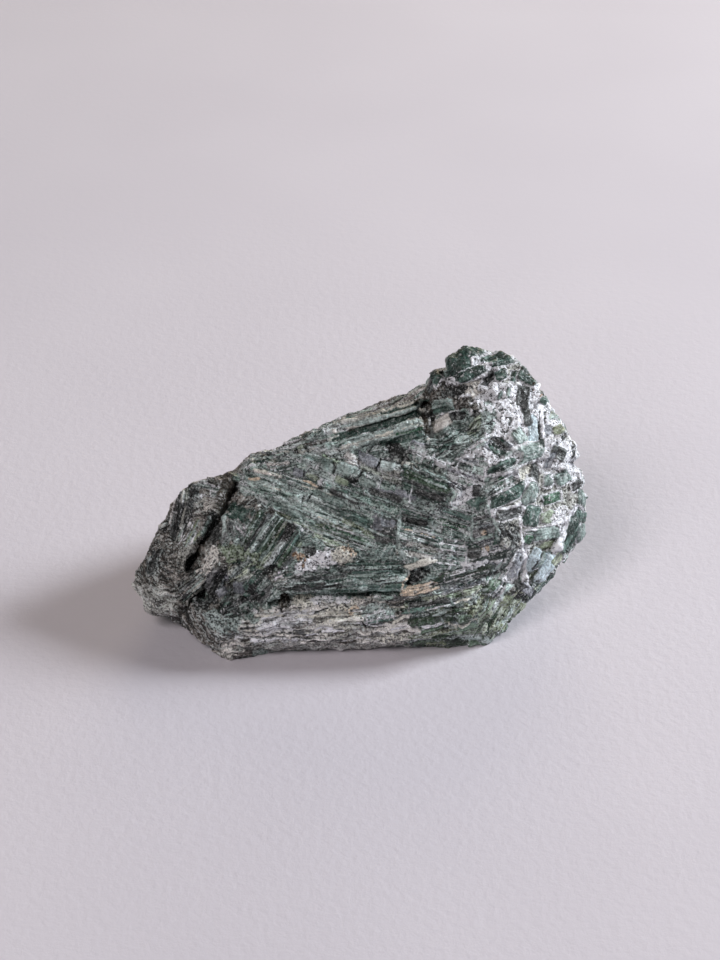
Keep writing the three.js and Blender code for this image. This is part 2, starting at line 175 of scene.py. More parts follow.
DISPLAY_ROCK = (
    # the foliated lobe
    foliated((-43, 20), (11, 15), 60, "schist", LOBE_SWIRL),
    foliated((-46, 13.6), (5, 3.4), -20, "ash", LOBE_SWIRL),
    foliated((-42.5, 26), (2.6, 4), 60, "schist", (-43.5, 26)),
    Bundle((-39.6, 32.4), (6.2, 2.6), 78, (6, 0.6), "black black slate ash", 0.3, 0, 0),
    Bundle((-33.8, 37.6), (3.6, 2.6), -15, (3, 1.3), "mid pale schist", 0.4, 0, 0.2),
    foliated((-37, 36.4), (1.2, 2.4), -30, "black"),
    foliated((-45.4, 22.4), (1.4, 3.4), -20, "black", LOBE_SWIRL),
    Patch((-37.4, 27.8), (1.1, 1.8), 0, "pale"),
    Patch((-38.6, 22.6), (1.6, 3), -20, "ash"),
    foliated((-38.6, 11.2), (1.6, 2.2), 30, "schist", depth=-0.8),
    Patch((-33.6, 33.9), (1.6, 1), 30, "rose"),
    Bundle((-37, 16.6), (3.8, 2.8), 42, (5, 0.7), "schist mid slate", 0.2, 0, 0),
    # the heel
    foliated((-32, 5), (9.5, 7), -30, "schist", (-26, 13)),
    Patch((-30, 8.6), (5, 2.6), -12, "pale"),
    foliated((-28, 3), (3.6, 1.7), 5, "rose"),
    # the lower band
    foliated((-5, 7.5), (21, 6.8), 2, "rose"),
    foliated((-4.5, 8.6), (6, 3.4), 5, "cream"),
    foliated((-17, 8.6), (7, 2.4), 12, "white"),
    foliated((-18, 4.4), (7, 0.7), -2, "white"),
    Patch((-12.6, 13), (3, 1.5), 0, "cream"),
    Patch((-5.6, 13.4), (4, 1.2), 0, "white"),
    Patch((0.6, 13.4), (3, 0.9), 12, "rose"),
    Patch((-5, 11.6), (2.6, 0.7), 14, "cream"),
    foliated((-2, 3.6), (20, 1.2), 2, "rose"),
    Patch((7, 5.1), (5, 0.8), 3, "cream"),
    Bundle((9.6, 12.6), (4.4, 2), 8, (6, 0.8), "schist ash slate", 0.2, 0, 0),
    Block((-12.4, 6.3), (2.4, 0.7), 3, "slate", 0.1),
    foliated((-9, 3), (17, 0.7), 1, "ash"),
    # the long ridge crystals that converge towards the lobe
    Bundle((-13, 48.2), (10, 2.4), 18, (9, 0.9), "schist mid pale schist"),
    Bundle((-14, 44.8), (13, 3.4), 11, (12, 0.7), "pale mid pale ash", 0.2),
    Bundle((2, 52.9), (14, 4.6), 15.5, (22, 0.9), "pale mid rose schist"),
    Bundle((10.6, 58), (5, 1.6), 30, (7, 0.8), "schist ash mid", 0.3, 0, 0),
    Block((0.6, 54), (5.8, 0.6), 15, "ash"),
    Block((9.8, 55.9), (5.4, 0.45), 15.5, "dark", 0),
    Block((4.5, 53.7), (9, 0.6), 15.5, "rose", 0.5),
    Block((4.8, 52.3), (9, 0.75), 16.2, "dark", -0.1),
    Block((6.2, 51.2), (9.8, 0.45), 14.8, "pale", 0.4),
    Block((6.4, 50.3), (9.2, 0.4), 14.5, "pale", 0.5),
    Block((10.4, 50.4), (5, 0.3), 15, "vivid"),
    Block((2, 48.6), (6.4, 0.4), 14, "ash"),
    Block((10, 49.3), (5.2, 0.8), 16, "dark", 0),
    # the pale fan
    Bundle((-18, 38.2), (11, 3.6), -12, (11, 0.8), "pale mid cream pale", 0.1, -8, 0.05),
    Bundle((-12, 34.8), (14, 3.4), -19, (12, 1), "pale mid pale mid", 0.1, -4, 0.05),
    Bundle((-8, 30.6), (15, 3.2), -22, (11, 0.9), "mid pale moss pale", 0.13, -4, 0.05),
    Bundle((3, 35.5), (11, 4.8), -20, (9, 1.3), "mid violet mid dark", 0.15, 0, 0.05),
    Block((-7.6, 36.2), (4.2, 0.8), -20, "mid", 0.15),
    Block((-16, 33.2), (4.4, 0.7), -20, "mid", 0.1),
    Block((-1.4, 31.6), (4, 0.8), -20, "dark", 0.1),
    Block((7, 37.4), (6, 1.1), -17, "violet", 0.2),
    Block((-3.4, 36.2), (3.4, 0.7), -25, "slate", 0.2),
    # the knobby band of short broken crystals above it
    Bundle((-7, 42.2), (10, 3.2), -22, (4.2, 1.6), "mid pale moss mid", 0.45),
    Bundle((4, 42.4), (8, 4.4), -20, (4.4, 1.8), "ash pale mid mid", 0.5),
    Bundle((4, 46.2), (6, 1.6), 8, (6, 1.2), "mid pale mid"),
    Block((-6.8, 42.6), (1.5, 1), -30, "mid", 0.4),
    Block((-13.6, 41.6), (1.5, 0.9), -10, "violet"),
    Block((-3, 42.4), (2.2, 1.4), -20, "mid", 0.6),
    Block((5.8, 43), (1.9, 1.1), -14, "pale", 0.6),
    Block((-4.2, 39.8), (1.8, 0.8), -30, "moss", 0.4),
    Block((2.2, 44.3), (2.6, 1.1), -25, "violet"),
    Block((1.6, 39.2), (2.2, 0.9), -20, "mid", 0.4),
    Block((13.4, 47), (2.5, 1.3), -12, "violet", 0.7),
    Bundle((15.5, 45.2), (5, 2.4), -20, (2.4, 1.1), "pale mid dark", 0.4, 10, 0.3),
    Patch((13.6, 42.5), (2, 0.8), -20, "dark", 0.2),
    Patch((8.4, 46), (2.4, 1.9), -20, "slate", 0.5),
    # the dark bars below the fan
    Bundle((-20, 26.4), (6.4, 7), 56, (14, 0.95), "forest dark pale black moss", 0.3, 2, 0),
    Bundle((-4, 27), (7, 2.6), -20, (7, 0.9), "forest vivid moss mid", 0.25),
    Patch((-23.8, 22.2), (2.8, 1.8), -45, "moss"),
    # right of the fan
    Bundle((14.5, 38.8), (6, 3.4), -22, (9, 1.2), "dark dark mid", 0.3, 0, 0),
    Block((14.6, 40), (5, 0.7), -22, "dark", 0.2),
    Block((15, 38.4), (4.8, 0.8), -22, "black", 0.4),
    Block((15.6, 36.7), (4.2, 1), -20, "dark"),
    Bundle((14.5, 29.5), (7, 6), -17, (8, 0.9), "pale mid dark mid", 0.25),
    Bundle((21.5, 29.5), (5, 6), -20, (6, 1.1), "vivid mid dark mid pale"),
    Block((12.4, 30.9), (3.2, 0.9), -16, "dark", -0.1),
    Patch((13.6, 34.3), (3, 0.8), -20, "pale", -0.1),
    Bundle((20, 23.4), (5, 3.4), -8, (3, 1.2), "mid pale mid", 0.3, 0, 0.3),
    Bundle((12.6, 24.6), (4.4, 2), -10, (6, 0.8), "mid ash mid", 0.2),
    Patch((5.4, 28.6), (2.8, 3.3), 0, "slate", -0.1, "glassy"),
    Patch((5, 30.2), (2.2, 1.4), -20, "violet", -0.1, "glassy"),
    # the lower half
    Bundle((1.5, 17.8), (9.5, 3.2), 3, (18, 1.2), "mid dark mid", 0.15, 0, 0),
    Bundle((2, 20.8), (8, 1.4), 2, (9, 1), "dark dark mid", 0.3, 0, 0),
    Bundle((-10.5, 17.6), (7, 2.3), 6, (7, 0.65), "dark pale black mid", 0.3, 0, 0),
    Block((-10.4, 18.1), (3.4, 0.6), 4, "black", -0.1),
    Block((-10, 16), (7.2, 0.5), 3, "black", -0.2),
    Patch((4, 10.6), (3.8, 2.4), 0, "pale"),
    Bundle((4, 9.4), (3.6, 1.8), 10, (3, 0.9), "mid pale dark", 0.3, 15, 0.3),
    Bundle((23, 17.4), (9, 3.4), 15, (6, 1.6), "dark forest moss violet", 0.4, 0),
    Bundle((15.6, 12.4), (6, 2), 9, (9, 1.3), "slate moss dark", 0.3, 0, 0),
    Bundle((18, 9.6), (7.5, 2.6), 8, (9, 1.8), "forest mid forest", 0.3, 0, 0),
    Bundle((21, 5.4), (10.5, 2.7), 6, (14, 1), "moss olive forest pale", 0.25, 12, 0),
    Patch((26, 12.4), (3.4, 2.4), 10, "olive"),
    Patch((24.8, 13.6), (1.8, 1), 20, "pale"),
    Bundle((31, 9.8), (5.4, 5), 52, (10, 0.8), "olive moss pale moss", 0.12, 12, 0),
    Block((35.2, 11.6), (2.6, 0.9), 62, "olive", 0.2),
    Bundle((31.4, 18.4), (5, 3.2), 55, (4, 1.1), "mid pale dark violet", 0.4, 10, 0.3),
    Block((29.2, 16.6), (2, 1.2), 55, "forest", 0.2),
    # the black sparkling hollow between the lobe and the bars: dark crystals, their black partly the
    # hollow's painted shade
    Bundle((-23, 16.6), (3.4, 4.4), 48, (4, 0.9), "slate dark mid", 0.3, 10, 0),
    Bundle((-26.6, 20.2), (3.8, 2.6), 40, (2.4, 0.9), "mid ash dark olive", 0.35, 20, 0),
    Bundle((-26.6, 13.2), (5, 3.2), 30, (1.7, 0.9), "black dark slate mid black", 0.5, 30, 0),
    Bundle((-31.8, 17.8), (3.8, 2.2), 58, (4, 1.1), "black slate violet black", 0.5, 0, 0),
    Block((-30.6, 15.2), (1.3, 1), 35, "violet", 0.6),
    Block((-26.8, 16.2), (1.1, 1.3), 0, "violet", 0.6),
    Patch((-32.2, 28.5), (1.5, 3.4), -12, "slate", 0.2),
    Block((-30.1, 30.2), (3.2, 0.5), 85, "pale", 0.2),
    Patch((-28.4, 24), (3.6, 2.2), -20, "moss"),
    Bundle((-29.6, 26.8), (1.8, 1.6), 50, (1.6, 0.6), "mid slate pale", 0.2, 10, 0),
    Patch((-26.6, 32.4), (3.2, 1.8), -20, "dark", 0, "glassy"),
    Patch((-27.4, 28), (1.8, 2.4), -35, "pale"),
    Bundle((-27.2, 29), (2.4, 1.6), -52, (1.6, 0.5), "white pale mid", 0.3, 10, 0),
    Block((-28.7, 29.5), (1.2, 0.6), 70, "black", -0.2),
    Patch((-32.9, 22.4), (3.2, 1.2), 60, "rose", -0.2),
    Patch((-34.8, 19.8), (1.6, 0.9), 15, "rose", -0.2),
    # the talc head
    Patch((33, 53), (9, 15), 10, "white", -0.1),
    Patch((44, 45), (5, 11), 10, "white"),
    Patch((40, 33), (10, 9), 10, "ash"),
    Bundle((24.5, 40.6), (5, 5), -18, (3.4, 1.3), "violet mid pale", 0.4, 10, 0.3),
    foliated((22, 49.6), (7.5, 4.2), 32, "mid", HEAD_SWIRL),
    foliated((25.6, 52), (3.2, 1.4), 50, "moss", HEAD_SWIRL),
    foliated((19.6, 47.6), (4.4, 1.4), 30, "dark", HEAD_SWIRL),
    Patch((28.4, 53), (4.2, 1.4), 85, "pale"),
    Patch((25.6, 46.8), (3.4, 1.3), 28, "white", -0.4),
    Patch((23.6, 36.6), (3.2, 1.5), 35, "white", -0.2),
    Patch((21.8, 34.8), (2.2, 0.8), 0, "white", -0.1),
    Block((26, 37.6), (0.9, 1.2), 0, "slate", 0.2),
    Block((30.6, 47.3), (2.4, 1.8), -38, "violet", 0.4),
    Bundle((30.6, 47.3), (2.4, 1.8), -38, (3, 0.7), "violet slate dark", 0.3, 0, 0),
    Block((35.4, 49.3), (2.1, 1.5), -55, "mid", 0.7),
    Block((34, 50.6), (1.1, 0.25), -50, "black", 0.2),
    Block((38.3, 50.8), (3.6, 1.1), 88, "ice", 0.2),
    Block((41.6, 50), (2.4, 0.9), 88, "violet", 0.2),
    Block((44, 51.2), (1.4, 1), 10, "olive"),
    Block((45.3, 49.8), (0.8, 0.5), 50, "black", -0.1),
    Block((43.8, 45.9), (1.7, 1.5), -30, "slate", 0.5),
    Block((36.9, 54.2), (2.4, 0.9), 100, "slate"),
    Block((36, 58.4), (2.3, 1.3), 88, "slate", 0.5),
    Block((31, 58.7), (1.4, 0.5), 55, "mid", 0.4),
    Block((32.7, 59.3), (0.9, 0.4), 80, "mid"),
    Block((41.4, 57.2), (1.6, 0.6), -25, "dark", 0.2),
    Block((43, 54.4), (1.4, 0.9), 20, "mid", 0.4),
    Block((45.6, 52.4), (1.8, 0.3), -20, "dark"),
    Block((47.4, 48.6), (1.2, 0.3), 85, "slate", 0.1),
    Block((47.3, 45.4), (1, 0.35), 85, "slate", 0.1),
    Block((42, 44.3), (1.8, 0.9), 75, "violet"),
    Block((31.3, 55.5), (0.6, 0.3), 20, "slate", -0.2),
    Block((33.2, 52.6), (1, 0.45), 80, "slate", -0.2),
    Block((32.7, 50.9), (0.5, 0.3), 60, "slate", -0.2),
    Block((36.2, 45.2), (5, 1.4), 24, "mid", 0.9, 0.5),
    Block((31.4, 43.1), (3.2, 0.9), 20, "dark", 0.5, 0.3),
    Patch((36.8, 42.2), (2, 1.5), 60, "cream"),
    Block((38.6, 41), (2.6, 1), 95, "slate", 0.1),
    Block((41.6, 39.9), (1.4, 0.8), 80, "mid", 0.6, 0.3),
    Block((44.6, 40.5), (1.8, 1.4), 20, "mid", 0.7, 0.3),
    Block((47.8, 38.9), (1.3, 1), 30, "slate", 0.5, 0.3),
    Block((42.4, 36), (1.9, 1), 25, "vivid", 0.5, 0.3),
    Block((49, 35.5), (2.6, 0.9), 88, "mid", 0.4),
    Bundle((31, 38.6), (4, 2.2), 30, (3, 1.2), "mid vivid pale mid", 0.4, 0, 0.2),
    Block((32.8, 36.5), (4.2, 1.3), 27, "dark", 0.7, 0.4),
    Block((37.6, 36.8), (2.6, 1.4), 60, "mid", 0.4, 0.2),
    # the blocks and veins of the right side
    Bundle((27.3, 29), (2.6, 4.4), 14, (5, 1), "violet mid slate", 0.3, 0),
    Block((32.8, 32.5), (3, 1.3), 13, "slate", 0.5, 0.3),
    Patch((33.1, 28.1), (2.3, 3.2), 6, "slate", -0.2),
    Patch((33.4, 29.4), (1.2, 0.8), 20, "ash", -0.3),
    Patch((32.2, 26.4), (0.9, 0.7), 60, "ash", -0.3),
    Block((38, 32), (2.4, 1.9), 80, "dark", 0.4, 0.2),
    Block((41.6, 31.8), (1.7, 1.2), 20, "moss", 0.4, 0.2),
    Block((40.6, 28.2), (3.6, 1.4), 12, "mid", 0.4, 0.2),
    Block((37.2, 26.8), (1.2, 0.9), 70, "vivid", 0.3, 0.1),
    Block((41.6, 25.7), (1.7, 0.8), 5, "olive", 0.2),
    Block((46.4, 28.8), (5.2, 1.4), 63, "dark", 0.7, 0.2),
    Block((48.9, 28.2), (2.2, 1.2), 85, "mid", 0.6, 0.2),
    Patch((45.8, 24.8), (1.4, 0.7), 50, "mid", -0.1, "glassy"),
    Block((38.2, 22.4), (2.8, 1.1), 60, "ice", 0.5),
    Block((40.9, 20.8), (3.4, 1.05), 62, "ice", 0.8),
    Block((34.7, 21.2), (3, 1), 68, "violet", 0.4, 0.5),
    Block((36.8, 15.9), (1.8, 1), -35, "violet", 0.2),
    Block((35.2, 16.9), (1.3, 0.6), -35, "slate", 0.1),
    Block((43.4, 22.6), (1.6, 1), 40, "olive", 0.2),
    Block((25.3, 23.8), (1.6, 1.3), 10, "slate", 0.1),
    # the crown and the pocket beside it
    Patch((24, 62), (6, 4), 30, "rose"),
    Patch((28, 67), (4, 2.4), 10, "white"),
    Patch((33, 64), (4, 2.4), -30, "ash"),
    Patch((18, 59), (5, 3), 40, "schist"),
    Patch((22.8, 66.2), (4.6, 3.2), 60, "dark", -0.2, "glassy"),
    Patch((25.8, 68.4), (2.2, 1.5), -20, "dark", -0.2, "glassy"),
    Patch((25.4, 66.2), (1.4, 1.1), 45, "white", -0.3),
    Block((30.6, 66.6), (4.2, 1.3), 10, "dark", 0.2, 0.2),
    Block((24.5, 63.4), (3.7, 0.95), 24, "dark", 0.9, 0.4),
    Block((28.6, 62.4), (2.1, 0.95), 60, "black", 0.5, 0.4),
    Block((31.3, 63.3), (1.3, 1.2), 30, "dark", 0.5, 0.2),
    Block((33.9, 62.8), (1.1, 0.6), 80, "dark", 0.4, 0.2),
    Block((37, 62.8), (2.1, 1.5), -35, "dark", 0.6, 0.2),
    Patch((41, 59.3), (2.4, 1.2), -30, "rust"),
    Patch((21, 59.2), (3.2, 1.2), 10, "slate", 0.3),
    Block((17.6, 61.1), (1.3, 1), 30, "dark", 0.6, 0.2),
    Block((15.8, 60), (0.9, 0.7), 30, "black", 0.2),
    Patch((23, 56.8), (3.6, 1.5), -12, "schist"),
    Patch((22, 54), (3.2, 1.2), 15, "slate", 0.6),
    Block((18, 52.6), (2.3, 1.3), 22, "rose", 0.4),
    Block((18, 56.1), (2.7, 1.2), 8, "mid", 0.6),
    Block((18.2, 55.6), (2.2, 0.5), 8, "dark", 0.6),
    # the hollow where the ridge bands end: sunk, and painted slate and black as its shade
    Patch((14.6, 55.3), (1.5, 2.3), -20, "slate", 0.9),
    Patch((16, 53), (0.9, 1.3), 0, "black", 0.9),
    # talc crusts and stains
    Patch((-9.2, 22.3), (6.2, 1.9), 12, "white", -0.5),
    Patch((-3.4, 23), (3, 1.5), -10, "cream", -0.5),
    Bundle((-16.6, 18.6), (3, 1.2), 15, (1.4, 0.5), "white dark ash", 0.3, 10, 0),
    Patch((-13.4, 22.9), (1.3, 1.6), 50, "rust", 0.1),
    Patch((-11.6, 24.6), (1.8, 0.9), 15, "slate", 0.4),
    Patch((-1.8, 24), (1.2, 0.5), -35, "tan", -0.2),
    Patch((25.2, 21.5), (2, 0.7), 12, "white", -0.4),
    Patch((46.6, 22.9), (3, 1.2), 42, "white", -0.2),
    Patch((44.6, 32.6), (1.6, 2.2), -30, "white", -0.1),
    Patch((26.9, 28.1), (0.7, 0.5), 0, "tan", -0.1),
    Patch((28, 24.8), (0.6, 0.5), 0, "tan", -0.1),
    Patch((-2, 11), (1.2, 0.5), 20, "tan"),
    # a hollow, sunk and painted black as its shade
    Patch((12.6, 18.6), (2.8, 1.1), 30, "black", 0.9),
    Block((13.3, 15.9), (4.2, 1.1), 12, "tan", 0.5),
    foliated((13.9, 16.1), (2.8, 0.4), 12, "rose", depth=-0.2),
    Block((13.2, 21.5), (3.3, 0.7), 17, "cream", 0.4),
    # hollows: sunk, and painted black, umber or slate as their shade
    Patch((-34.6, 13.4), (3.2, 2.1), 10, "black", 0.7),
    Patch((-19, 20.8), (1.8, 0.7), 25, "black", 0.8),
    Patch((-16.6, 13.1), (1.4, 1.9), 0, "umber", 0.9),
    Patch((36, 14), (1.2, 0.8), -20, "slate", 0.4),
    Patch((-26.6, 42.6), (0.9, 0.6), 30, "black", 0.4),
)

DISPLAY_SEAMS = (
    # The crack between the lobe and the body: a raised umber fill, its dark partly painted shade, and a
    # sunk black line at its foot, painted shade.
    Seam(((-28.8, 40), (-30.8, 35.4), (-32.8, 31), (-34, 28), (-35.4, 24.6)), 2.6, -0.7, "umber"),
    Seam(((-33, 32.4), (-34.2, 29.4), (-35.6, 26), (-36.6, 23.6), (-38.2, 20)), 1.1, 0.7, "black"),
    Seam(((-36.9, 37.6), (-38.2, 34.8), (-39, 31)), 1.3, 0.2, "black"),
    Seam(((-39.8, 34.4), (-40.9, 30.6), (-41.2, 26.8)), 1.1, 0.2, "black"),
    Seam(((-42.4, 31.6), (-43.2, 28.6)), 0.6, 0.1, "black"),
    Seam(((-46.6, 18.6), (-45.8, 22), (-44.4, 24.4)), 0.9, 0.1, "slate"),
    Seam(((-38.9, 33.8), (-39.8, 29.8)), 0.35, -0.1, "ash"),
    Seam(((-36.6, 33.8), (-35.4, 35.2), (-34.2, 35.8)), 0.5, -0.1, "ash"),
    Seam(((8.9, 33), (8.5, 27), (8.8, 24.5), (10.4, 22.2)), 0.8, -0.1, "pale"),
    Seam(((2.6, 27), (0.8, 24.4)), 0.3, -0.1, "pale"),
    Seam(((20, 18.9), (23.4, 20.2), (27.4, 21.3)), 0.45, -0.3, "white"),
    Seam(((15, 11.2), (18, 12), (21.3, 12.8)), 0.35, -0.1, "white"),
    Seam(((21.3, 12.8), (24.8, 14.2), (26.4, 15.8)), 0.3, -0.1, "cream"),
    Seam(((14, 7.4), (16, 8), (18.6, 8)), 0.55, -0.3, "white"),
    Seam(((18.6, 8), (22.6, 7.8), (25, 9), (27, 9.8)), 0.3, -0.1, "cream"),
    Seam(((17.4, 11.6), (17.8, 9.8), (18.5, 8.2)), 0.35, -0.1, "pale"),
    Seam(((35.2, 32.2), (35.9, 28), (36.1, 24.4)), 0.6, -0.3, "white"),
    Seam(((36.3, 24.4), (36.6, 21), (36.2, 18)), 0.9, -0.1, "white"),
    Seam(((36.7, 20), (37.3, 17.4)), 0.8, -0.1, "white"),
    Seam(((36.2, 28.6), (39, 29.2), (44.5, 30.8)), 0.4, -0.2, "white"),
    Seam(((43.2, 24.8), (44.8, 28), (45.6, 31), (47.6, 34.4)), 0.9, -0.2, "white"),
    Seam(((39.9, 23.6), (38, 20.4)), 0.4, 0.3, "black"),
    Seam(((35.4, 23), (35.2, 18)), 0.35, 0.2, "slate"),
    Seam(((32.6, 45.4), (35, 46.2), (39, 48)), 0.6, -0.3, "white"),
    Seam(((30.6, 41), (33.4, 42), (35.6, 43.3)), 0.5, -0.3, "white"),
    Seam(((30.8, 33.6), (33, 33.9), (35.4, 34.8)), 0.5, -0.3, "white"),
    Seam(((24.9, 34), (24.9, 30), (24.6, 27)), 0.35, -0.1, "pale"),
    Seam(((28.3, 34), (29.6, 31), (30.8, 28.4)), 0.45, -0.1, "pale"),
    Seam(((23.4, 21.6), (23.8, 24.6)), 0.4, -0.2, "white"),
    Seam(((27.4, 24.9), (28.2, 23.6)), 0.5, -0.2, "white"),
    Seam(((40.3, 55), (40.4, 51), (40.7, 47.4)), 0.45, -0.2, "white"),
    Seam(((39.6, 55), (39.8, 47.6)), 0.35, 0.2, "slate"),
    Seam(((41, 55), (40.9, 52.4)), 0.35, 0.2, "slate"),
    Seam(((-13, 39.9), (-11, 39.4), (-9, 38.5)), 0.35, -0.1, "tan"),
    Seam(((-9.2, 38.9), (-8.4, 38.2)), 0.8, 0.3, "slate"),
    Seam(((-24.6, 40.2), (-22.4, 40.3)), 0.4, -0.1, "tan"),
    Seam(((-9.5, 31.8), (-7, 31.2)), 0.3, -0.1, "tan"),
    Seam(((-22, 33.8), (-18, 32.2), (-15, 30.6)), 0.3, -0.1, "pale"),
    Seam(((-16.5, 38.4), (-13, 36.6)), 0.3, -0.1, "pale"),
    Seam(((-5, 29.5), (-2.4, 28.5), (0.4, 27.6)), 0.3, -0.1, "white"),
    Seam(((10, 29), (13, 28.4), (16.5, 27.3)), 0.3, -0.1, "tan"),
    Seam(((-3.6, 48.5), (-1.7, 49.2)), 0.4, -0.2, "white"),
    Seam(((-2, 46.8), (5, 49.3)), 0.35, -0.2, "pale"),
    Seam(((5, 54.7), (10, 56.1), (15, 57.7)), 1, 0.2, "dark"),
    Seam(((5, 55.3), (12.3, 57.4)), 0.45, -0.2, "cream"),
    Seam(((-4, 51.7), (4, 53.6), (13, 56.2)), 0.8, 0, "pale"),
    Seam(((-4, 49.8), (4, 52.3), (13, 55)), 1.5, 0.2, "dark"),
    Seam(((-3.5, 48.7), (6, 51), (15.3, 53.4)), 0.8, -0.2, "pale"),
    Seam(((-3, 49.2), (6, 51.6), (14.6, 54.1)), 0.25, 0.2, "slate"),
    Seam(((0, 47.8), (10, 50.2)), 0.5, -0.1, "pale"),
    Seam(((5, 48.2), (11, 49.6)), 1.2, 0.1, "dark"),
    Seam(((8, 50.1), (14, 51.4)), 0.4, 0, "vivid"),
    Seam(((10.6, 41.2), (15, 39.5), (19, 37.8)), 1.9, 0.1, "forest"),
    Seam(((11.4, 41.3), (18.6, 38.7)), 0.25, 0, "vivid"),
    # the same hollow along the bands' end: a sunk umber line, painted shade
    Seam(((14.3, 56.8), (14.4, 54), (15, 50.8)), 1.7, 0.3, "umber"),
    Seam(((10.6, 15.7), (16.8, 17)), 0.35, 0.2, "umber"),
    Seam(((2.6, 37.6), (8.6, 35.8)), 1.5, 0.1, "slate"),
    Seam(((-9.6, 37.4), (-4.6, 35)), 1.3, 0.1, "mid"),
    Seam(((-11.8, 45.2), (-6.6, 44)), 1.2, 0.1, "mid"),
    Seam(((12.6, 37.6), (15.6, 36.6), (18.6, 35.8)), 1.8, 0.1, "black"),
    Seam(((11.6, 38.2), (11.2, 36.6), (11, 35)), 0.3, -0.1, "white"),
    Seam(((9.8, 31.3), (14.4, 30.4)), 1.6, 0.1, "black"),
    Seam(((-25.4, 24.6), (-21.2, 31.6)), 0.7, 0.2, "black"),
    Seam(((-22.8, 24.2), (-19, 30.4)), 0.6, 0.2, "dark"),
    Seam(((-20.6, 23.4), (-17, 29.2)), 0.5, 0.2, "dark"),
    Seam(((-24.4, 24.2), (-20.2, 31.2)), 0.3, -0.1, "pale"),
    Seam(((-26.4, 25.4), (-22.4, 32)), 0.3, -0.1, "pale"),
    Seam(((10.5, 41.5), (15, 39.8), (19, 38.2)), 0.25, -0.1, "pale"),
    Seam(((15.8, 57.2), (19.4, 57.4)), 0.5, -0.3, "pale"),
    Seam(((22, 58.1), (24.4, 59)), 0.5, -0.2, "white"),
    Seam(((1, 17), (4.5, 17.1), (8.6, 18)), 0.3, -0.1, "pale"),
    Seam(((9.3, 15.8), (9.7, 17.6), (11, 19)), 0.4, -0.2, "tan"),
    Seam(((5.4, 9), (5.4, 11), (6.2, 12), (6.8, 10.6), (6.4, 9)), 0.3, -0.1, "pale"),
    Seam(((7.4, 8.4), (10, 9.6)), 0.5, -0.2, "cream"),
    # a crack, sunk and painted black as its shade
    Seam(((0, 9.5), (0.8, 8.2), (1.5, 7)), 0.4, 0.5, "black"),
    Seam(((-17, 6), (-13, 6.8)), 0.35, 0.3, "slate"),
    Seam(((-10, 10.4), (-8, 11.4), (-5.4, 12.2)), 0.3, 0.3, "slate"),
    Seam(((-24, 5.1), (-16, 5.2), (-10, 5)), 0.3, 0.3, "slate"),
    # Short crevices between broken crystals: sunk, and painted black or slate as their shade.
    Seam(((-5.8, 43.6), (-5.3, 42.6), (-6, 41.4)), 0.45, 0.6, "black"),
    Seam(((4.6, 44.6), (4.2, 43.4), (3.6, 42.4)), 0.45, 0.6, "black"),
    Seam(((0.8, 42.4), (0, 40.6), (-1.6, 39.6)), 0.6, 0.6, "black"),
    Seam(((-3.4, 40.6), (-1.4, 39.4)), 0.45, 0.5, "black"),
    Seam(((-12.4, 42.2), (-12.6, 40.6)), 0.45, 0.6, "black"),
    Seam(((2.6, 47.1), (2, 46.2)), 0.4, 0.6, "black"),
    Seam(((9.6, 45.2), (9.2, 43.2)), 0.6, 0.6, "black"),
    Seam(((-10.6, 37), (-11.6, 35.4)), 0.45, 0.6, "black"),
    Seam(((-12.6, 36.2), (-12.7, 35)), 0.35, 0.4, "slate"),
    Seam(((-12, 47.2), (-11.4, 46.2)), 0.5, 0.5, "black"),
    Seam(((-14.2, 47.2), (-14, 46.4)), 0.35, 0.4, "black"),
    Seam(((-22.6, 44.6), (-20.8, 45.4), (-19, 45.5)), 0.5, 0.5, "black"),
    Seam(((-24.6, 44.8), (-22, 46)), 0.35, 0.4, "slate"),
)

DISPLAY_STREAKS = (
    Streaks((-8, 33), (16, 6), -20, 44, "pale mid dark pale"),
    Streaks((-14, 38.6), (11, 3), -13, 20, "cream dark mid pale"),
    Streaks((-12, 45.6), (12, 2.6), 13, 16, "pale dark ash"),
    Streaks((4, 52), (12, 3), 15.5, 16, "pale dark cream"),
    Streaks((-5, 8), (20, 5), 3, 44, "white slate umber cream"),
    Streaks((0, 17.6), (11, 2.6), 3, 24, "black pale dark"),
    Streaks((-21, 27), (5.5, 6), 57, 18, "dark pale mid"),
    Streaks((16, 31), (7, 6), -18, 26, "pale dark black"),
    Streaks((21, 8), (9, 5), 8, 20, "forest pale olive"),
    Streaks((31, 9), (5, 5), 53, 16, "forest pale olive"),
    Streaks((22, 17), (8, 3), 15, 14, "dark pale black"),
    Streaks((-39.4, 31.6), (5, 2), 76, 22, "black ash black white"),
    Streaks((-37.4, 28), (1, 2.4), 62, 8, "white pale olive"),
    Streaks((-36.8, 16.8), (4, 2.4), 44, 14, "ash black pale"),
    Streaks((22, 48.4), (7, 3.4), 30, 18, "dark pale black"),
)

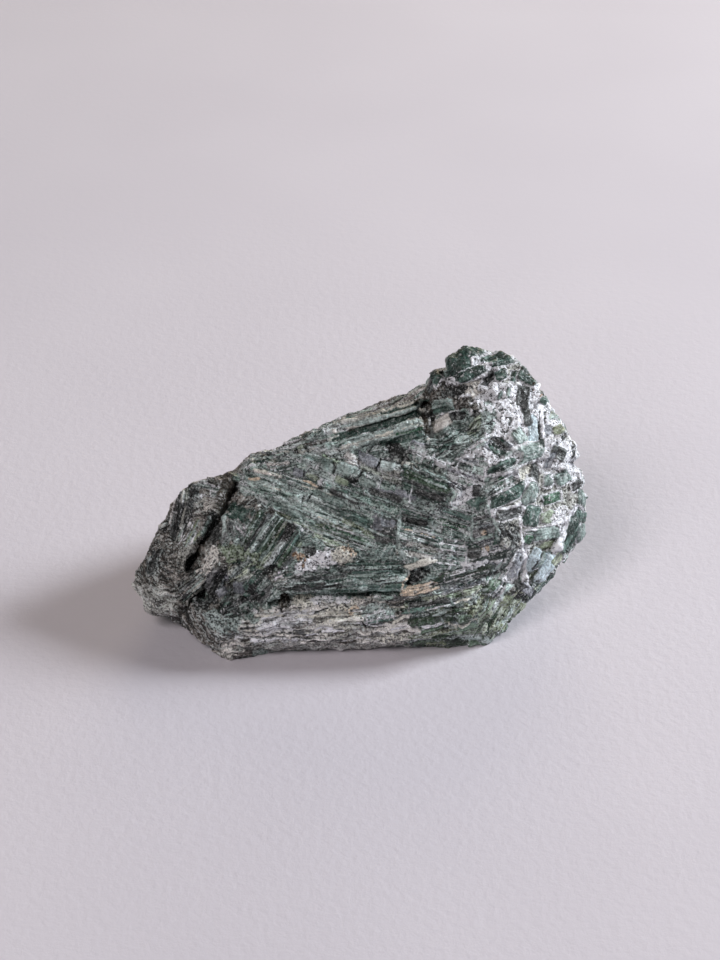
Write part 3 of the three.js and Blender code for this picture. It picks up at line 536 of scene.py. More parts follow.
BACK_ROCK = (
    Bundle((-38, 26), (12, 14), -62, (9, 1.3), "mid dark olive pale", 0.5, 14, 0.2),
    Bundle((-34, 10), (14, 8), -14, (10, 1.4), "mid olive dark", 0.4, 10),
    Bundle((-6, 13), (20, 7), 4, (14, 1.5), "mid dark schist", 0.4, -8, 0),
    Bundle((24, 14), (16, 6), -12, (11, 1.2), "schist mid slate", 0.4, 8, 0),
    Bundle((-26, 42), (18, 9), -20, (13, 1.6), "mid dark pale", 0.5, 10, 0.2),
    Bundle((18, 38), (18, 10), -32, (14, 1.4), "pale mid dark", 0.5, 14, 0.2),
    Bundle((-2, 44), (20, 9), -26, (18, 1.5), "dark mid pale mid", 0.5, -12),
    Bundle((-10, 27), (24, 8), -8, (16, 1.5), "mid dark olive", 0.5, 8),
    Bundle((22, 26), (14, 7), -20, (9, 1.3), "mid pale schist", 0.5, 10, 0.2),
    Patch((-34, 36), (7, 4), -30, "white", -0.3),
    Patch((-42, 17), (4, 2), 20, "cream", -0.2),
    Patch((6, 33), (9, 3), -20, "white", -0.2),
    Patch((-14, 52), (7, 3), -20, "cream", -0.2),
    foliated((-18, 19), (8, 2), 5, "rose"),
    foliated((38, 28), (11, 12), 60, "schist", (28, 32)),
    foliated((2, 18), (26, 3), -4, "schist"),
)

BROAD_END_ROCK = (
    Patch((0, 28), (34, 30), 0, "ash"),
    Bundle((-14, 10), (14, 8), 16, (8, 1.4), "mid olive dark", 0.5, 12),
    Bundle((12, 10), (15, 8), -14, (9, 1.5), "dark mid olive", 0.5, -12),
    Bundle((24, 26), (9, 9), 62, (7, 1.4), "mid pale dark", 0.5, 16, 0.3),
    Bundle((-24, 26), (8, 9), -55, (6, 1.3), "dark mid violet", 0.5, 16, 0.3),
    Bundle((2, 24), (15, 6), 8, (7, 1.7), "mid dark violet pale", 0.6, 14, 0.5),
    Bundle((-8, 42), (12, 9), 35, (6, 1.9), "dark mid violet", 0.7, 20, 0.6),
    Bundle((10, 44), (12, 10), 15, (6, 2), "mid dark pale", 0.7, -20, 0.6),
    Patch((2, 50), (9, 4), 20, "white", -0.3),
    Patch((-10, 34), (7, 3), 30, "white", -0.3),
    Patch((14, 33), (6, 3), -10, "white", -0.3),
    Patch((-4, 16), (6, 2), 10, "cream", -0.2),
    Block((-16, 34), (2.6, 1.4), 60, "dark", 0.6, 0.4),
    Block((-6, 30), (2.8, 1.5), 20, "mid", 0.6, 0.4),
    Block((3, 36), (2.4, 1.6), -30, "slate", 0.6, 0.4),
    Block((11, 30), (3, 1.3), 15, "dark", 0.6, 0.4),
    Block((19, 37), (2.4, 1.5), -50, "mid", 0.6, 0.4),
    Block((-10, 22), (3, 1.4), 5, "violet", 0.6, 0.4),
    Block((6, 19), (3.4, 1.5), -12, "dark", 0.6, 0.3),
    Block((18, 20), (2.6, 1.4), 35, "olive", 0.6, 0.3),
    Block((-19, 17), (2.6, 1.3), -30, "mid", 0.6, 0.3),
)

LOBE_END_ROCK = (
    foliated((0, 40), (30, 40), 0, "schist", (6, 30)),
    Bundle((8, 46), (8, 6), 65, (6, 1.4), "slate schist mid", 0.4, 20, 0),
)

# -------- numbers shared by the makers

COARSE_FACE = 0.38 * MM  # the rock skin's mesh; the display side's is twice as fine
SHOWN = (-0.06, 0.14)  # how squarely the skin must face a view to be that view's
SWOLLEN = (-0.7, -0.3)  # how squarely it must face the view for a bulge to move it
DEPTH_EDGE = 4  # the millimetres over which a view's rock ends, past its depth
PLAIN_DUST = 0.3  # the talc dust on plain rock

# The rock's noises: how many lumps in a millimetre, and how many octaves.
RAGGED = (0.45, 3)
FINE = (1.7, 2)
CRUMBS = (1.0, 4)
LUMPS = (0.28, 2)
SWELLS = (0.33, 3)

# Noises in the grain's own axes: how many lumps in a millimetre along, across and through it.
LAYERS = (0.1, 1.4, 0.13)
SPLINTERS = (0.12, 1.6, 0.2)
STEPS = (0.12, 1.3, 0.1)

# How ragged each thing's edge is in millimetres, and the reach over which it fades out.
PATCH_RAGGED, PATCH_EDGE = 1.1, (1.05, 0.92)
BUNDLE_RAGGED, BUNDLE_EDGE = 0.7, (1.03, 0.97)
BLOCK_RAGGED, BLOCK_EDGE = 0.19, (1.04, 0.97)
RIM_EDGE = (1.08, 0.98)
TALC_EDGE = (1.3, 0.7)
SEAM_EDGE = (1.2, 0.6)
BULGE_EDGE = (1, 0.1)
RAGGED_REACH, RAGGED_MARGIN = 1.2, 2  # no ragged edge lies past so many half sizes and millimetres

# Streaks: the degrees over which they turn from the grain, and the least half length and width in
# millimetres, each with how much more it may be.
STREAK_TURN = 6
STREAK_HALF, STREAK_LONGER = 1.0, 2.2
STREAK_WIDTH, STREAK_WIDER = 0.18, 0.3

SWIRL_RUN = 12  # the millimetres of grain in a radian of a swirl
UNEVEN = 0.7  # how unevenly a row is split into crystals
BEVEL = 0.22  # the millimetres of a block's bevelled edge
GLASSY_BELOW = 0.05  # the lightness below which a crystal is glassy
PALING = 0.7  # how fast a colour pales with its tone
DARK_PALING = 0.3  # how much of that the darkest colours do
LIGHT = 0.15  # the lightness from which a colour pales in full

INCREMENT, LACUNARITY = 1.0, 2.0  # how much weaker and how much finer each octave of a noise is
CHANCE_FACTORS = (12.9898, 78.233, 37.719, 24.531)
CHANCE_SCALE = 43758.5453


def noise_field(points, per_mm, octaves=3):
    """Fractal noise at each point, about -1 to 1, with this many lumps in a millimetre."""
    scaled = points * (per_mm / MM)
    return np.array([noise.fractal(Vector(p), INCREMENT, LACUNARITY, octaves) for p in scaled])


def grain_noise(grain, per_mm):
    """Fractal noise in the grain's own axes."""
    return noise_field(grain * per_mm * MM, 1.0)


def smoothstep(low, high, x):
    t = np.clip((x - low) / (high - low), 0, 1)
    return t * t * (3 - 2 * t)


def chance(*keys):
    """A random number from 0 to 1 for each set of keys."""
    mixed = sum(key * factor for key, factor in zip(keys, CHANCE_FACTORS))
    return np.modf(np.abs(np.sin(mixed) * CHANCE_SCALE))[0]


def swing(*keys):
    """A random number from -0.5 to 0.5 for each set of keys."""
    return chance(*keys) - 0.5


def shaded(tint, tone):
    """A colour made darker where the tone is below 0, and paler where it is above."""
    deep = tint * np.exp(np.minimum(tone, 0))[:, None]
    vivid = deep / deep.max(axis=1)[:, None]
    palest = 0.5 * vivid + 0.45 * PALETTE["white"]
    pales = DARK_PALING + (1 - DARK_PALING) * np.minimum(1, deep.mean(axis=1) / LIGHT)
    share = (1 - np.exp(-PALING * np.maximum(tone, 0))) * pales
    return deep + (palest - deep) * share[:, None]


def rotated(offsets, degrees):
    """Offsets in [right, up], in axes turned by this angle."""
    turn = np.radians(degrees)
    right, up = offsets[..., 0], offsets[..., 1]
    along = right * np.cos(turn) + up * np.sin(turn)
    across = up * np.cos(turn) - right * np.sin(turn)
    return np.stack([along, across], axis=-1)


def stretches(position, key):
    """Splits a line at uneven places: which stretch each position is in, and the distances to its ends."""

    def edge(index):
        return index + UNEVEN * swing(index, key)

    even = np.floor(position)
    index = even + (position >= edge(even + 1)) - (position < edge(even))
    return index, position - edge(index), edge(index + 1) - position


# -------- the rock skin


def faces_display(face):
    return face.normal.dot((DISPLAY.eye - face.calc_center_median()).normalized()) > 0


def fine_copy():
    """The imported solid's surface as small even faces, finer on the display side."""
    coarse = bpy.data.objects.new("coarse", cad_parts[NODE].data.copy())
    bpy.context.scene.collection.objects.link(coarse)
    remesh = coarse.modifiers.new("even", "REMESH")
    remesh.mode = "VOXEL"
    remesh.voxel_size = COARSE_FACE
    graph = bpy.context.evaluated_depsgraph_get()
    mesh = bpy.data.meshes.new_from_object(coarse.evaluated_get(graph))
    bpy.data.objects.remove(coarse)
    mesh.materials.clear()
    faces = bmesh.new()
    faces.from_mesh(mesh)
    shown = [face for face in faces.faces if faces_display(face)]
    edges = list({edge for face in shown for edge in face.edges})
    bmesh.ops.subdivide_edges(faces, edges=edges, cuts=1, use_grid_fill=True, smooth=0.0)
    faces.to_mesh(mesh)
    faces.free()
    return mesh


def read_vectors(items, name):
    values = np.zeros(len(items) * 3)
    items.foreach_get(name, values)
    return values.reshape(-1, 3)


# Which crystal of a bundle each point is in, by row and cell, and how far it is from that crystal's sides
# and ends, in widths and lengths, and from its nearest edge, in millimetres.
Crystals = namedtuple("Crystals", "key row cell below above before after edge")


class Skin:
    """What each point of the rock skin is made of, and how far it stands out. Its makers mix the noises
    into heights, in millimetres, and into tones, which darken a colour below 0 and pale it above."""

    def __init__(self, points, normals):
        self.points, self.normals = points, normals
        self.ragged = noise_field(points, *RAGGED)
        self.fine = noise_field(points, *FINE)
        self.crumbs = noise_field(points, *CRUMBS)
        self.lumps = noise_field(points, *LUMPS)
        self.form = 0.5 * noise_field(points, *SWELLS)
        count = len(points)
        self.height = np.zeros(count)
        self.tint = np.tile(PALETTE["mid"], (count, 1))
        self.finish = np.tile(FINISHES["fibrous"], (count, 1))
        self.dust = np.full(count, PLAIN_DUST)
        self.grain = points / MM

    def look_from(self, view):
        self.places = view.places(self.points)
        self.facing = view.facing(self.points, self.normals)
        self.through = self.points @ np.array(view.out) / MM
        sunk = self.through - self.through.max()
        reached = smoothstep(-view.depth - DEPTH_EDGE, -view.depth, sunk)
        self.shown = smoothstep(*SHOWN, self.facing + self.ragged * 0.1) * reached

    def swell(self, bulge):
        reach = np.hypot(*(rotated(self.places - bulge.at, bulge.turn) / bulge.half).T)
        self.form += bulge.height * smoothstep(*BULGE_EDGE, reach) * smoothstep(*SWOLLEN, self.facing)

    def near(self, at, radius):
        """The points that the view shows within this distance of a place."""
        gap = np.abs(self.places - at).max(axis=1)
        return np.flatnonzero((gap < radius) & (self.shown > 0))

    def blend(self, near, weight, tint, finish, height, dust, grain):
        """Lays one thing over what is there, as far as its weight and the view say."""
        weight = weight * self.shown[near]
        w = weight[:, None]
        self.tint[near] += (tint - self.tint[near]) * w
        self.finish[near] += (finish - self.finish[near]) * w
        self.height[near] += (height - self.height[near]) * weight
        self.dust[near] += (dust - self.dust[near]) * weight
        self.grain[near] = np.where(w > 0.5, grain, self.grain[near])

    def lay(self, thing):
        near = self.near(thing.at, RAGGED_REACH * max(thing.half) + RAGGED_MARGIN)
        offsets = self.places[near] - thing.at
        makers = {Patch: self.lay_patch, Bundle: self.lay_bundle, Block: self.lay_block}
        makers[type(thing)](thing, near, offsets)

    def unevenness(self, near, half, ragged):
        """How far each point's reach is moved, to make an edge this many millimetres ragged."""
        return (self.ragged[near] + self.fine[near] * 0.4) * ragged / min(half)

    def grain_axes(self, near, flat):
        return np.column_stack([flat, self.through[near]])

    def swirl_around(self, near, centre):
        """The way around a swirl and out from its centre, in millimetres."""
        away = self.places[near] - centre
        return np.stack([np.arctan2(away[:, 1], away[:, 0]) * SWIRL_RUN, np.hypot(*away.T)], axis=1)

    def lay_patch(self, patch, near, offsets):
        """Plain rock: crumbly, glassy, or foliated in wavy layers."""
        flat = rotated(offsets, patch.turn)
        reach = np.hypot(*(flat / patch.half).T) + self.unevenness(near, patch.half, PATCH_RAGGED)
        if patch.swirl is not None:
            flat = self.swirl_around(near, patch.swirl)
        lumps, crumbs = self.lumps[near], self.crumbs[near]
        flat[:, 1] += 0.8 * lumps + 0.12 * self.ragged[near] + 0.03 * self.fine[near]
        grain = self.grain_axes(near, flat)
        tint = PALETTE[patch.tint]
        tone = 0.4 * lumps + 0.5 * crumbs
        if patch.finish == "foliated":
            layers = grain_noise(grain, LAYERS)
            height = 0.45 * layers + 0.35 * lumps + 0.06 * crumbs
            tone += 2.2 * layers - 0.3 * crumbs - 0.05
        elif patch.finish == "glassy":
            height = 0.15 * lumps
            tone *= 0.5
        else:
            height = 0.35 * crumbs + 0.25 * lumps
            tone *= 1.2 - tint.mean()
        tint = shaded(np.tile(tint, (len(near), 1)), tone)
        weight, finish = smoothstep(*PATCH_EDGE, reach), FINISHES[patch.finish]
        self.blend(near, weight, tint, finish, height - patch.depth, PLAIN_DUST, grain)

    def crystals(self, bundle, near, flat):
        """Packs a bundle's crystals end to end in rows of uneven width."""
        ragged, fine = self.ragged[near], self.fine[near]
        length, width = bundle.blade
        along = flat[:, 0] + fine * 0.25 + ragged * 0.5
        across = flat[:, 1] + ragged * 0.18 * width + fine * 0.06
        key = bundle.at[0] + 3.7 * bundle.at[1]
        row, below, above = stretches(across / width, key)
        cell, before, after = stretches(along / length + 9 * chance(row, key), row + key)
        edge = np.minimum(np.minimum(below, above) * width, np.minimum(before, after) * length)
        return Crystals(key, row, cell, below, above, before, after, edge)

    def crystal_heights(self, bundle, in_row):
        """Each crystal's own height and tilt, and the ridge along it."""
        key, row, cell, below, above, before, after, _ = in_row
        length, width = bundle.blade
        height = bundle.lift * (2 * chance(row, cell, key) - 1.2)
        height += 0.4 * swing(cell, row, key) * (below - above) * width
        height += 0.05 * swing(key, cell, row) * (before - after) * length
        return height + 0.30 * width * np.minimum(below, above)

    def crystal_tints(self, bundle, near, in_row, splinters, seam):
        """Each crystal's colour, in turn from row to row, with painted shade in the seams between
        crystals, and which crystals are dark and glassy.
        """
        key, row, cell = in_row[:3]
        choices = np.array([PALETTE[name] for name in bundle.tints.split()])
        pick = (row + np.floor(1.6 * chance(row, key, cell))).astype(int) % len(choices)
        tone = 1.3 * (chance(row, cell, key, 1) - 0.45) + 0.3 * self.lumps[near] + 0.6 * splinters
        green = 0.25 * (chance(cell, key, row) - 0.45)[:, None] * np.array((-1, 0, -0.5))
        # painted shade in the seams between crystals, deeper the higher the crystals stand
        painted_seam_shade = min(0.75, 2.2 * bundle.lift) * seam
        tint = shaded(choices[pick] * np.exp(green), tone) * (1 - painted_seam_shade)[:, None]
        return tint, choices[pick].mean(axis=1)[:, None] < GLASSY_BELOW

    def lay_bundle(self, bundle, near, offsets):
        """Parallel crystals packed in rows, with painted shade and talc in the seams between them."""
        flat = rotated(offsets, bundle.turn)
        reach = np.hypot(*(flat / bundle.half).T) + self.unevenness(near, bundle.half, BUNDLE_RAGGED)
        turn = bundle.turn + bundle.fan * np.clip(flat[:, 1] / bundle.half[1], -1.2, 1.2)
        flat = rotated(offsets, turn)
        in_row = self.crystals(bundle, near, flat)
        width = bundle.blade[1]
        seam_width, seam_depth = 0.09 + 0.06 * width, 0.08 + 0.1 * width
        seam = np.exp(-((in_row.edge / seam_width) ** 2))
        grain = self.grain_axes(near, flat)
        splinters = grain_noise(grain, SPLINTERS)
        height = self.crystal_heights(bundle, in_row)
        height += 0.12 * splinters + 0.04 * self.crumbs[near] - seam_depth * seam
        tint, dark = self.crystal_tints(bundle, near, in_row, splinters, seam)
        talc_width = bundle.dust * (0.5 + 0.9 * self.ragged[near] + 0.5 * self.fine[near])
        talc = smoothstep(*TALC_EDGE, in_row.edge / np.maximum(talc_width, 0.01))
        tint += (PALETTE["white"] * 0.8 - tint) * talc[:, None]
        height += 0.35 * talc
        finish = np.where(dark, FINISHES["glassy"], FINISHES["fibrous"])
        self.blend(near, smoothstep(*BUNDLE_EDGE, reach), tint, finish, height, bundle.dust, grain)

    def block_reach(self, block, near, flat, key):
        """How far out each point is in a skewed block with cut corners, 1 at its edge."""
        skewed = flat / block.half
        skewed[:, 0] += swing(key, 3) * 0.5 * skewed[:, 1]
        skewed[:, 1] += swing(key, 4) * 0.5 * skewed[:, 0]
        cut = np.abs(skewed).sum(axis=1) / (1.5 + 0.5 * chance(key, 5))
        reach = np.maximum(np.abs(skewed).max(axis=1), cut)
        return reach + self.unevenness(near, block.half, BLOCK_RAGGED)

    def lay_rim(self, block, near, reach, grain):
        """The talc around a block, a little lower than the block itself."""
        outer = smoothstep(*RIM_EDGE, reach - block.rim * (1 + self.ragged[near]) / min(block.half))
        height = block.lift * 0.4 + 0.3 * self.crumbs[near]
        tint = PALETTE["white"] * 0.9
        self.blend(near, outer, tint, FINISHES["crumbly"], height, PLAIN_DUST, grain)

    def lay_block(self, block, near, offsets):
        """One crystal with a squarish outline, a bevelled edge and a rim of talc."""
        flat = rotated(offsets, block.turn)
        key = block.at[0] * 1.7 + block.at[1]
        reach = self.block_reach(block, near, flat, key)
        grain = self.grain_axes(near, flat)
        if block.rim:
            self.lay_rim(block, near, reach, grain)
        tilt = 0.5 * swing(key, 1) * flat[:, 1] + 0.12 * swing(key, 2) * flat[:, 0]
        steps = grain_noise(grain, STEPS)
        bevel = smoothstep(max(0.6, 1 - BEVEL / min(block.half)), 1.0, reach)
        height = block.lift + tilt + 0.12 * steps + 0.05 * self.crumbs[near] - 0.3 * bevel
        tint = np.tile(PALETTE[block.tint], (len(near), 1))
        tint = shaded(tint, 0.5 * self.lumps[near] + 0.9 * steps)
        weight = smoothstep(*BLOCK_EDGE, reach)
        self.blend(near, weight, tint, FINISHES["glassy"], height, block.rim, grain)

    def lay_streaks(self, streaks):
        """Short seams at random places in an ellipse, each along the grain or nearly so."""
        tints = streaks.tints.split()
        for number in range(streaks.count):
            key = streaks.at[0] + 7.3 * number
            angle, reach = math.tau * chance(key, 1), math.sqrt(chance(key, 2))
            offset = np.array((math.cos(angle), math.sin(angle))) * streaks.half * reach
            middle = rotated(offset, -streaks.turn) + streaks.at
            turn = math.radians(streaks.turn + STREAK_TURN * swing(key, 3))
            half = STREAK_HALF + STREAK_LONGER * chance(key, 4)
            run = np.array((math.cos(turn), math.sin(turn))) * half
            width = STREAK_WIDTH + STREAK_WIDER * chance(key, 5)
            self.lay_seam(Seam((middle - run, middle + run), width, 0, tints[number % len(tints)]))

    def lay_seam(self, seam):
        """A crack or a vein along a line of places."""
        middle = np.mean(seam.path, axis=0)
        spread = np.abs(np.array(seam.path) - middle).max()
        near = self.near(middle, spread + seam.width + 1)  # and a millimetre for its raggedness
        places = self.places[near]
        nearest = np.full(len(near), np.inf)
        for a, b in zip(seam.path, seam.path[1:]):
            run = np.subtract(b, a)
            share = np.clip((places - a) @ run / (run @ run), 0, 1)
            gap = places - a - share[:, None] * run
            nearest = np.minimum(nearest, np.hypot(*gap.T))
        nearest += self.ragged[near] * 0.25 + self.fine[near] * 0.12
        weight = smoothstep(*SEAM_EDGE, nearest / (seam.width / 2)) * self.shown[near]
        self.height[near] -= seam.depth * weight
        self.tint[near] += (PALETTE[seam.tint] - self.tint[near]) * weight[:, None]
        self.finish[near] += (FINISHES["glassy"] - self.finish[near]) * weight[:, None]


def write_looks(mesh, grain, tint, finish, dust):
    """Keeps what the material reads: fibre coordinates, colour, kind of break, and talc dust."""
    mesh.attributes.new("grain", "FLOAT_VECTOR", "POINT").data.foreach_set("vector", np.ravel(grain))
    shades = np.column_stack([tint, dust])
    mesh.attributes.new("tint", "FLOAT_COLOR", "POINT").data.foreach_set("color", np.ravel(shades))
    kinds = np.column_stack([finish, np.ones(len(finish))])
    mesh.attributes.new("kind", "FLOAT_COLOR", "POINT").data.foreach_set("color", np.ravel(kinds))


def shaped_skin(mesh):
    """Gives the skin its relief, and returns what each of its points is made of."""
    skin = Skin(read_vectors(mesh.vertices, "co"), read_vectors(mesh.vertices, "normal"))
    sides = ((BACK, BACK_ROCK), (LOBE_END, LOBE_END_ROCK), (BROAD_END, BROAD_END_ROCK))
    for view, things in (*sides, (DISPLAY, DISPLAY_ROCK)):
        skin.look_from(view)
        for thing in things:
            skin.lay(thing)
    for bulge in DISPLAY_BULGES:
        skin.swell(bulge)
    for streaks in DISPLAY_STREAKS:
        skin.lay_streaks(streaks)
    for seam in DISPLAY_SEAMS:
        skin.lay_seam(seam)
    moved = skin.points + skin.normals * ((skin.height + skin.form) * MM)[:, None]
    moved[:, 2] = np.maximum(moved[:, 2], 0)
    mesh.vertices.foreach_set("co", np.ravel(moved))
    mesh.update()
    return skin


# Where the display view splits the skin into pieces, in its millimetres.
FAR_ENDS_MEET = 4
SCHIST_RIGHT = -26
TALC_LEFT = 25
FAN_FOOT = 23


def region_of(mesh, skin):
    """Which region of the rock each face belongs to."""
    first = np.zeros(len(mesh.polygons), int)
    mesh.polygons.foreach_get("loop_start", first)
    corners = np.zeros(len(mesh.loops), int)
    mesh.loops.foreach_get("vertex_index", corners)
    corner = corners[first]
    right, up = skin.places[corner].T
    far = skin.shown[corner] < 0.5
    regions = {
        "far_broad_end": far & (right > FAR_ENDS_MEET),
        "far_narrow_end": far,
        "schist_end": right < SCHIST_RIGHT,
        "talc_head": right > TALC_LEFT,
        "crystal_fan": up > FAN_FOOT,
    }
    return np.select(list(regions.values()), list(regions), "lower_bands")


def make_rock(mesh):
    """The skin as one piece for each region, under its own name."""
    skin = shaped_skin(mesh)
    regions = region_of(mesh, skin)
    points, normals = read_vectors(mesh.vertices, "co"), read_vectors(mesh.vertices, "normal")
    polygons = [tuple(p.vertices) for p in mesh.polygons]
    pieces = []
    for region in np.unique(regions):
        faces = [polygons[k] for k in np.flatnonzero(regions == region)]
        used = np.unique(np.concatenate(faces))
        renumbered = np.zeros(len(points), int)
        renumbered[used] = np.arange(len(used))
        part = bpy.data.meshes.new(str(region))
        part.from_pydata(points[used].tolist(), [], [renumbered[list(f)].tolist() for f in faces])
        write_looks(part, skin.grain[used], skin.tint[used], skin.finish[used], skin.dust[used])
        part.shade_smooth()
        part.normals_split_custom_set_from_vertices(normals[used].tolist())
        piece = bpy.data.objects.new(str(region), part)
        bpy.context.scene.collection.objects.link(piece)
        pieces.append(piece)
    return pieces


# -------- materials


class Value:
    """A number that a material works out at each point, to be added and multiplied as a number is."""

    def __init__(self, nodes, socket):
        self.nodes, self.socket = nodes, socket

    def __add__(self, other):
        return self.nodes.math("ADD", self, other)

    def __sub__(self, other):
        return self.nodes.math("SUBTRACT", self, other)

    def __rsub__(self, other):
        return self.nodes.math("SUBTRACT", other, self)

    def __mul__(self, other):
        return self.nodes.math("MULTIPLY", self, other)

    def clamped(self):
        """The same value, kept from 0 to 1."""
        self.socket.node.use_clamp = True
        return self

    def spread(self, low, high, to_low=0.0, to_high=1.0):
        """Takes what lies from low to high smoothly to this other range."""
        node = self.nodes.add("ShaderNodeMapRange", interpolation_type="SMOOTHSTEP")
        for source, socket in zip((self, low, high, to_low, to_high), node.inputs):
            self.nodes.link(source, socket)
        return Value(self.nodes, node.outputs["Result"])


class Nodes:
    """A new material, its shader's inputs, and short calls for making and joining nodes."""

    def __init__(self, name):
        self.material = bpy.data.materials.new(name)
        self.material.use_nodes = True
        self.tree = self.material.node_tree
        self.inputs = self.tree.nodes["Principled BSDF"].inputs

    def add(self, kind, **settings):
        node = self.tree.nodes.new(kind)
        for name, value in settings.items():
            setattr(node, name, value)
        return node

    def link(self, source, socket):
        if isinstance(source, Value):
            source = source.socket
        if isinstance(source, bpy.types.NodeSocket):
            self.tree.links.new(source, socket)
        else:
            socket.default_value = source

    def attribute(self, name):
        return self.add("ShaderNodeAttribute", attribute_name=name).outputs

    def spots(self):
        """Places on the object, in metres."""
        return self.add("ShaderNodeTexCoord").outputs["Object"]

    def math(self, operation, *values):
        node = self.add("ShaderNodeMath", operation=operation)
        for value, socket in zip(values, node.inputs):
            self.link(value, socket)
        return Value(self, node.outputs[0])

    def noise(self, vector, scale, detail, roughness=0.6):
        node = self.add("ShaderNodeTexNoise")
        self.link(vector, node.inputs["Vector"])
        for name, value in (("Scale", scale), ("Detail", detail), ("Roughness", roughness)):
            node.inputs[name].default_value = value
        return Value(self, node.outputs["Fac"])

    def grain_noise(self, scales, detail):
        """Noise in the grain's own axes, scaled along, across and through it."""
        node = self.add("ShaderNodeVectorMath", operation="MULTIPLY")
        self.link(self.attribute("grain")["Vector"], node.inputs[0])
        self.link(scales, node.inputs[1])
        return self.noise(node.outputs[0], 1.0, detail)

    def mix(self, factor, a, b, blend="MIX"):
        node = self.add("ShaderNodeMix", data_type="RGBA", blend_type=blend)
        first, second = node.inputs[6:8]  # its colours; the inputs before them have the same names
        self.link(factor, node.inputs["Factor"])
        self.link(a, first)
        self.link(b, second)
        return node.outputs[2]

    def bump(self, height, strength, distance):
        node = self.add("ShaderNodeBump")
        node.inputs["Strength"].default_value = strength
        node.inputs["Distance"].default_value = distance
        self.link(height, node.inputs["Height"])
        self.link(node.outputs[0], self.inputs["Normal"])


# a painted highlight, mixed into the brightest streaks
PAINTED_GLINT = (0.76, 0.84, 0.82, 1)
# the painted shade of the fine holes
PIT_SHADE = (0.012, 0.014, 0.012, 1)
HAIRLINE = (0.62, 0.72, 0.68, 1)
# talc specks, and painted sparkle
POWDER_AND_SPARKLE = (0.78, 0.80, 0.80, 1)
ACTINOLITE_IOR = 1.55
BRIGHTEST_SHADE = 1.5  # a shade above it whitens a colour instead of brightening it


class Stone:
    """The stone's surface: its noises, how it breaks, and what they make of colour, gloss and relief."""

    def __init__(self, n):
        self.n = n
        tint = n.attribute("tint")
        self.tint, self.dust = tint["Color"], Value(n, tint["Alpha"])
        kinds = n.add("ShaderNodeSeparateColor")
        n.link(n.attribute("kind")["Color"], kinds.inputs[0])
        self.crumbly, self.foliated, self.fibrous = (Value(n, socket) for socket in kinds.outputs)
        self.glassy = (1.0 - (self.crumbly + self.foliated + self.fibrous)).clamped()
        self.broken = 1.0 - self.glassy * 0.8
        # lumps in a millimetre along, across and through the grain, and detail
        self.fibres = n.grain_noise((0.3, 2.3, 0.4), 3.0)
        self.layers = n.grain_noise((0.2, 2.0, 0.25), 4.0)
        self.hairs = n.grain_noise((0.3, 5.0, 1.0), 2.0)
        # lumps in a metre, detail and roughness
        spots = n.spots()
        self.clouds = n.noise(spots, 260.0, 3.0)
        self.crumbs = n.noise(spots, 1000.0, 5.0, 0.7)
        self.specks = n.noise(spots, 1300.0, 2.0, 0.5)
        self.grit = n.noise(spots, 2100.0, 2.0)
        self.sparks = n.noise(spots, 3400.0, 1.0, 0.5)
        self.pits = self.find_pits()
        self.powder_and_sparkle = self.find_powder_and_sparkle()

    def find_pits(self):
        """Fine holes, painted near-black as their shade, most of all where the rock is crumbly."""
        holes = (self.specks - self.crumbly * 0.025).spread(0.36, 0.32)
        pits = self.n.math("MAXIMUM", holes, self.sparks.spread(0.33, 0.29))
        crumbly_pits = self.grit.spread(0.40, 0.36) * self.crumbly
        return self.n.math("MAXIMUM", pits, crumbly_pits) * self.broken

    def find_powder_and_sparkle(self):
        """Specks of talc, most of all where there is dust, and fine pale specks over all broken rock that
        are painted sparkle.
        """
        specks = (self.specks.spread(0.60, 0.68) * (self.dust + 0.3)).clamped()
        return self.n.math("MAXIMUM", specks, self.sparks.spread(0.68, 0.72, 0.0, 0.8) * self.broken)

    def shade(self):
        """How much brighter or darker each point is than its tint; white rock is shaded less."""
        streak = self.fibres.spread(0.32, 0.7, 0.45, 2.1)
        layer = self.layers.spread(0.34, 0.66, 0.3, 2.1)
        crumb = self.crumbs.spread(0.35, 0.60, 0.5, 1.35)
        shade = streak * self.fibrous + layer * self.foliated + crumb * self.crumbly + self.glassy
        shade = shade * self.clouds.spread(0.35, 0.65, 0.7, 1.35)
        speckle = self.grit.spread(0.35, 0.65, 0.3, 1.95) - 1.0
        shade = shade * (speckle * self.broken + 1.0)
        brightness = self.n.add("ShaderNodeRGBToBW")
        self.n.link(self.tint, brightness.inputs[0])
        whiteness = Value(self.n, brightness.outputs[0]).spread(0.45, 0.85, 0.0, 0.7)
        return shade + whiteness * (1.05 - shade)

    def colour(self):
        shade = self.shade()
        deep = self.n.add("ShaderNodeCombineColor")
        capped = self.n.math("MINIMUM", shade, BRIGHTEST_SHADE)
        for socket in deep.inputs[:3]:
            self.n.link(capped, socket)
        colour = self.n.mix(1.0, self.tint, deep.outputs[0], "MULTIPLY")
        # where the shade passes the brightest, a pale glint is mixed in: a painted highlight
        painted_glint = ((shade - BRIGHTEST_SHADE) * 0.3).clamped()
        hairline = self.hairs.spread(0.60, 0.68, 0.0, 0.5) * (self.fibrous + self.foliated)
        # over the colour go a painted highlight, the painted shade of fine holes, pale hairlines, and talc
        # specks with painted sparkle
        layers = ((painted_glint, PAINTED_GLINT), (self.pits * 0.9, PIT_SHADE), (hairline, HAIRLINE), (self.powder_and_sparkle, POWDER_AND_SPARKLE))
        for share, over in layers:
            colour = self.n.mix(share, colour, over)
        return colour

    def roughness(self):
        dull = self.crumbly * 0.4 + self.foliated * 0.2
        return (self.fibres.spread(0.3, 0.7, 0.16, 0.38) + dull + self.powder_and_sparkle * 0.3).clamped()

    def relief(self):
        height = self.fibres * 1.1 * self.fibrous
        height = height + self.layers * 1.4 * self.foliated
        height = height + self.crumbs * 1.5 * self.crumbly
        return height + self.grit * 0.5 - self.pits * 0.6


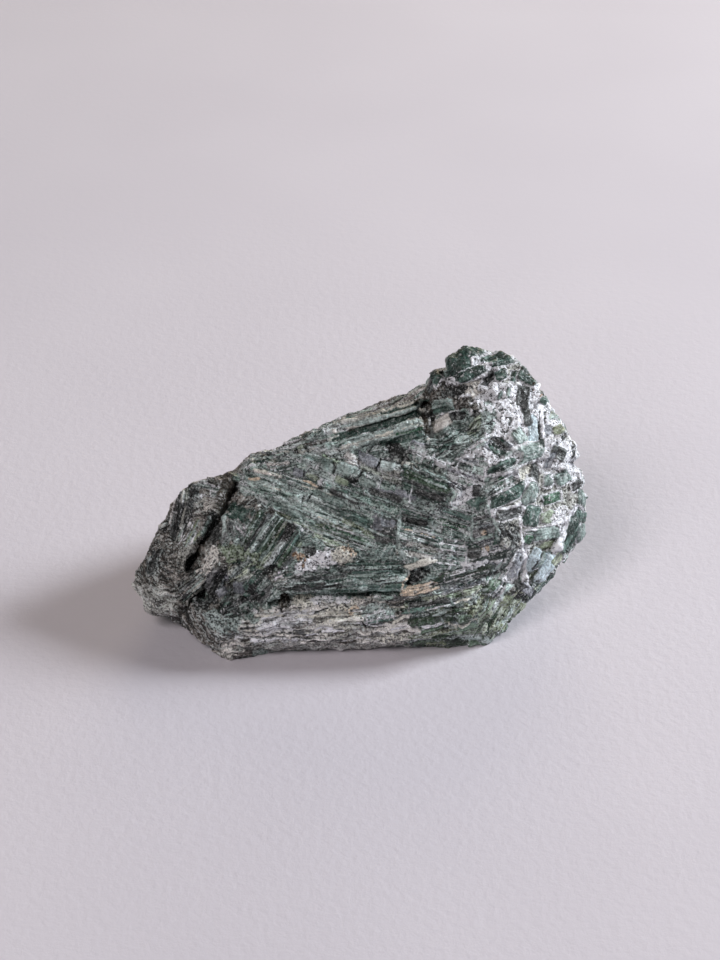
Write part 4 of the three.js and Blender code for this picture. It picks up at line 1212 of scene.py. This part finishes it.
def stone_material():
    n = Nodes("actinolite_stone")
    rock = Stone(n)
    n.link(rock.colour(), n.inputs["Base Color"])
    n.link(rock.roughness(), n.inputs["Roughness"])
    n.inputs["IOR"].default_value = ACTINOLITE_IOR
    n.bump(rock.relief(), strength=0.9, distance=0.5 * MM)
    return n.material


PAPER = (0.640, 0.608, 0.654, 1)
PAPER_CLOUD = (0.668, 0.636, 0.682, 1)
PAPER_NEAR, PAPER_FAR = 0.06, 0.2  # the metres from the middle over which its tooth grows fainter


def paper_material():
    n = Nodes("pale_paper")
    spots = n.spots()
    away = n.add("ShaderNodeVectorMath", operation="LENGTH")
    n.link(spots, away.inputs[0])
    tooth = Value(n, away.outputs["Value"]).spread(PAPER_NEAR, PAPER_FAR, 1.0, 0.25)
    clouds = n.noise(spots, 9.0, 2.0).spread(0.3, 0.7)
    n.link(n.mix(clouds, PAPER, PAPER_CLOUD), n.inputs["Base Color"])
    n.inputs["Roughness"].default_value = 0.85
    n.bump(n.noise(spots, 480.0, 4.0) * tooth, strength=0.4, distance=0.45 * MM)
    return n.material


# -------- the stage

FLOOR_HALF = 3.0  # metres
LENS = 85  # the camera's focal length in millimetres
NEAREST_SEEN = 0.01  # metres; less than that from the camera isn't drawn


def make_floor():
    half = FLOOR_HALF
    corners = [(-half, -half, 0), (half, -half, 0), (half, half, 0), (-half, half, 0)]
    mesh = bpy.data.meshes.new("floor")
    mesh.from_pydata(corners, [], [(0, 1, 2, 3)])
    floor = bpy.data.objects.new("floor", mesh)
    bpy.context.scene.collection.objects.link(floor)
    mesh.materials.append(paper_material())


def aimed(item, place):
    """Puts a lamp or the camera at a place, pointing at what every view looks at."""
    item.location = place
    item.rotation_euler = (AIM - place).to_track_quat("-Z", "Y").to_euler()
    bpy.context.scene.collection.objects.link(item)
    return item


Lamp = namedtuple("Lamp", "azimuth elevation size power colour")

# A cool window at the right as the key, a weak warm lamp behind, and a broad warmer fill from the front
# left. Angles in degrees, as a view has them; the size in metres, the power in watts.
LAMPS = {
    "key": Lamp(106, 28, 0.4, 23.5, (0.92, 0.955, 1.0)),
    "rim": Lamp(170, 20, 0.7, 5.6, (1.0, 0.84, 0.62)),
    "fill": Lamp(322, 50, 0.6, 8.0, (1.0, 0.94, 0.95)),
}
LAMP_DISTANCE = 1.4  # metres
ROOM_TINT = (1.0, 0.95, 0.97, 1)
ROOM_LIGHT = 0.05


def make_lights():
    for name, lamp in LAMPS.items():
        light = bpy.data.lights.new(name, "AREA")
        light.size = lamp.size
        light.energy = lamp.power
        light.color = lamp.colour
        aimed(bpy.data.objects.new(name, light), View(lamp.azimuth, lamp.elevation).out * LAMP_DISTANCE)
    world = bpy.data.worlds.new("room")
    world.use_nodes = True
    background = world.node_tree.nodes["Background"].inputs
    background["Color"].default_value = ROOM_TINT
    background["Strength"].default_value = ROOM_LIGHT
    bpy.context.scene.world = world
    bpy.context.scene.view_settings.view_transform = "Standard"


def make_camera():
    lens = bpy.data.cameras.new("camera")
    lens.lens = LENS
    lens.clip_start = NEAREST_SEEN
    bpy.context.scene.camera = aimed(bpy.data.objects.new("camera", lens), DISPLAY.eye)


make_camera()
make_lights()
make_floor()
stone = stone_material()
skin_mesh = fine_copy()
for piece in make_rock(skin_mesh):
    piece.data.materials.append(stone)
    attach(piece, "root")
    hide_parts(NODE)
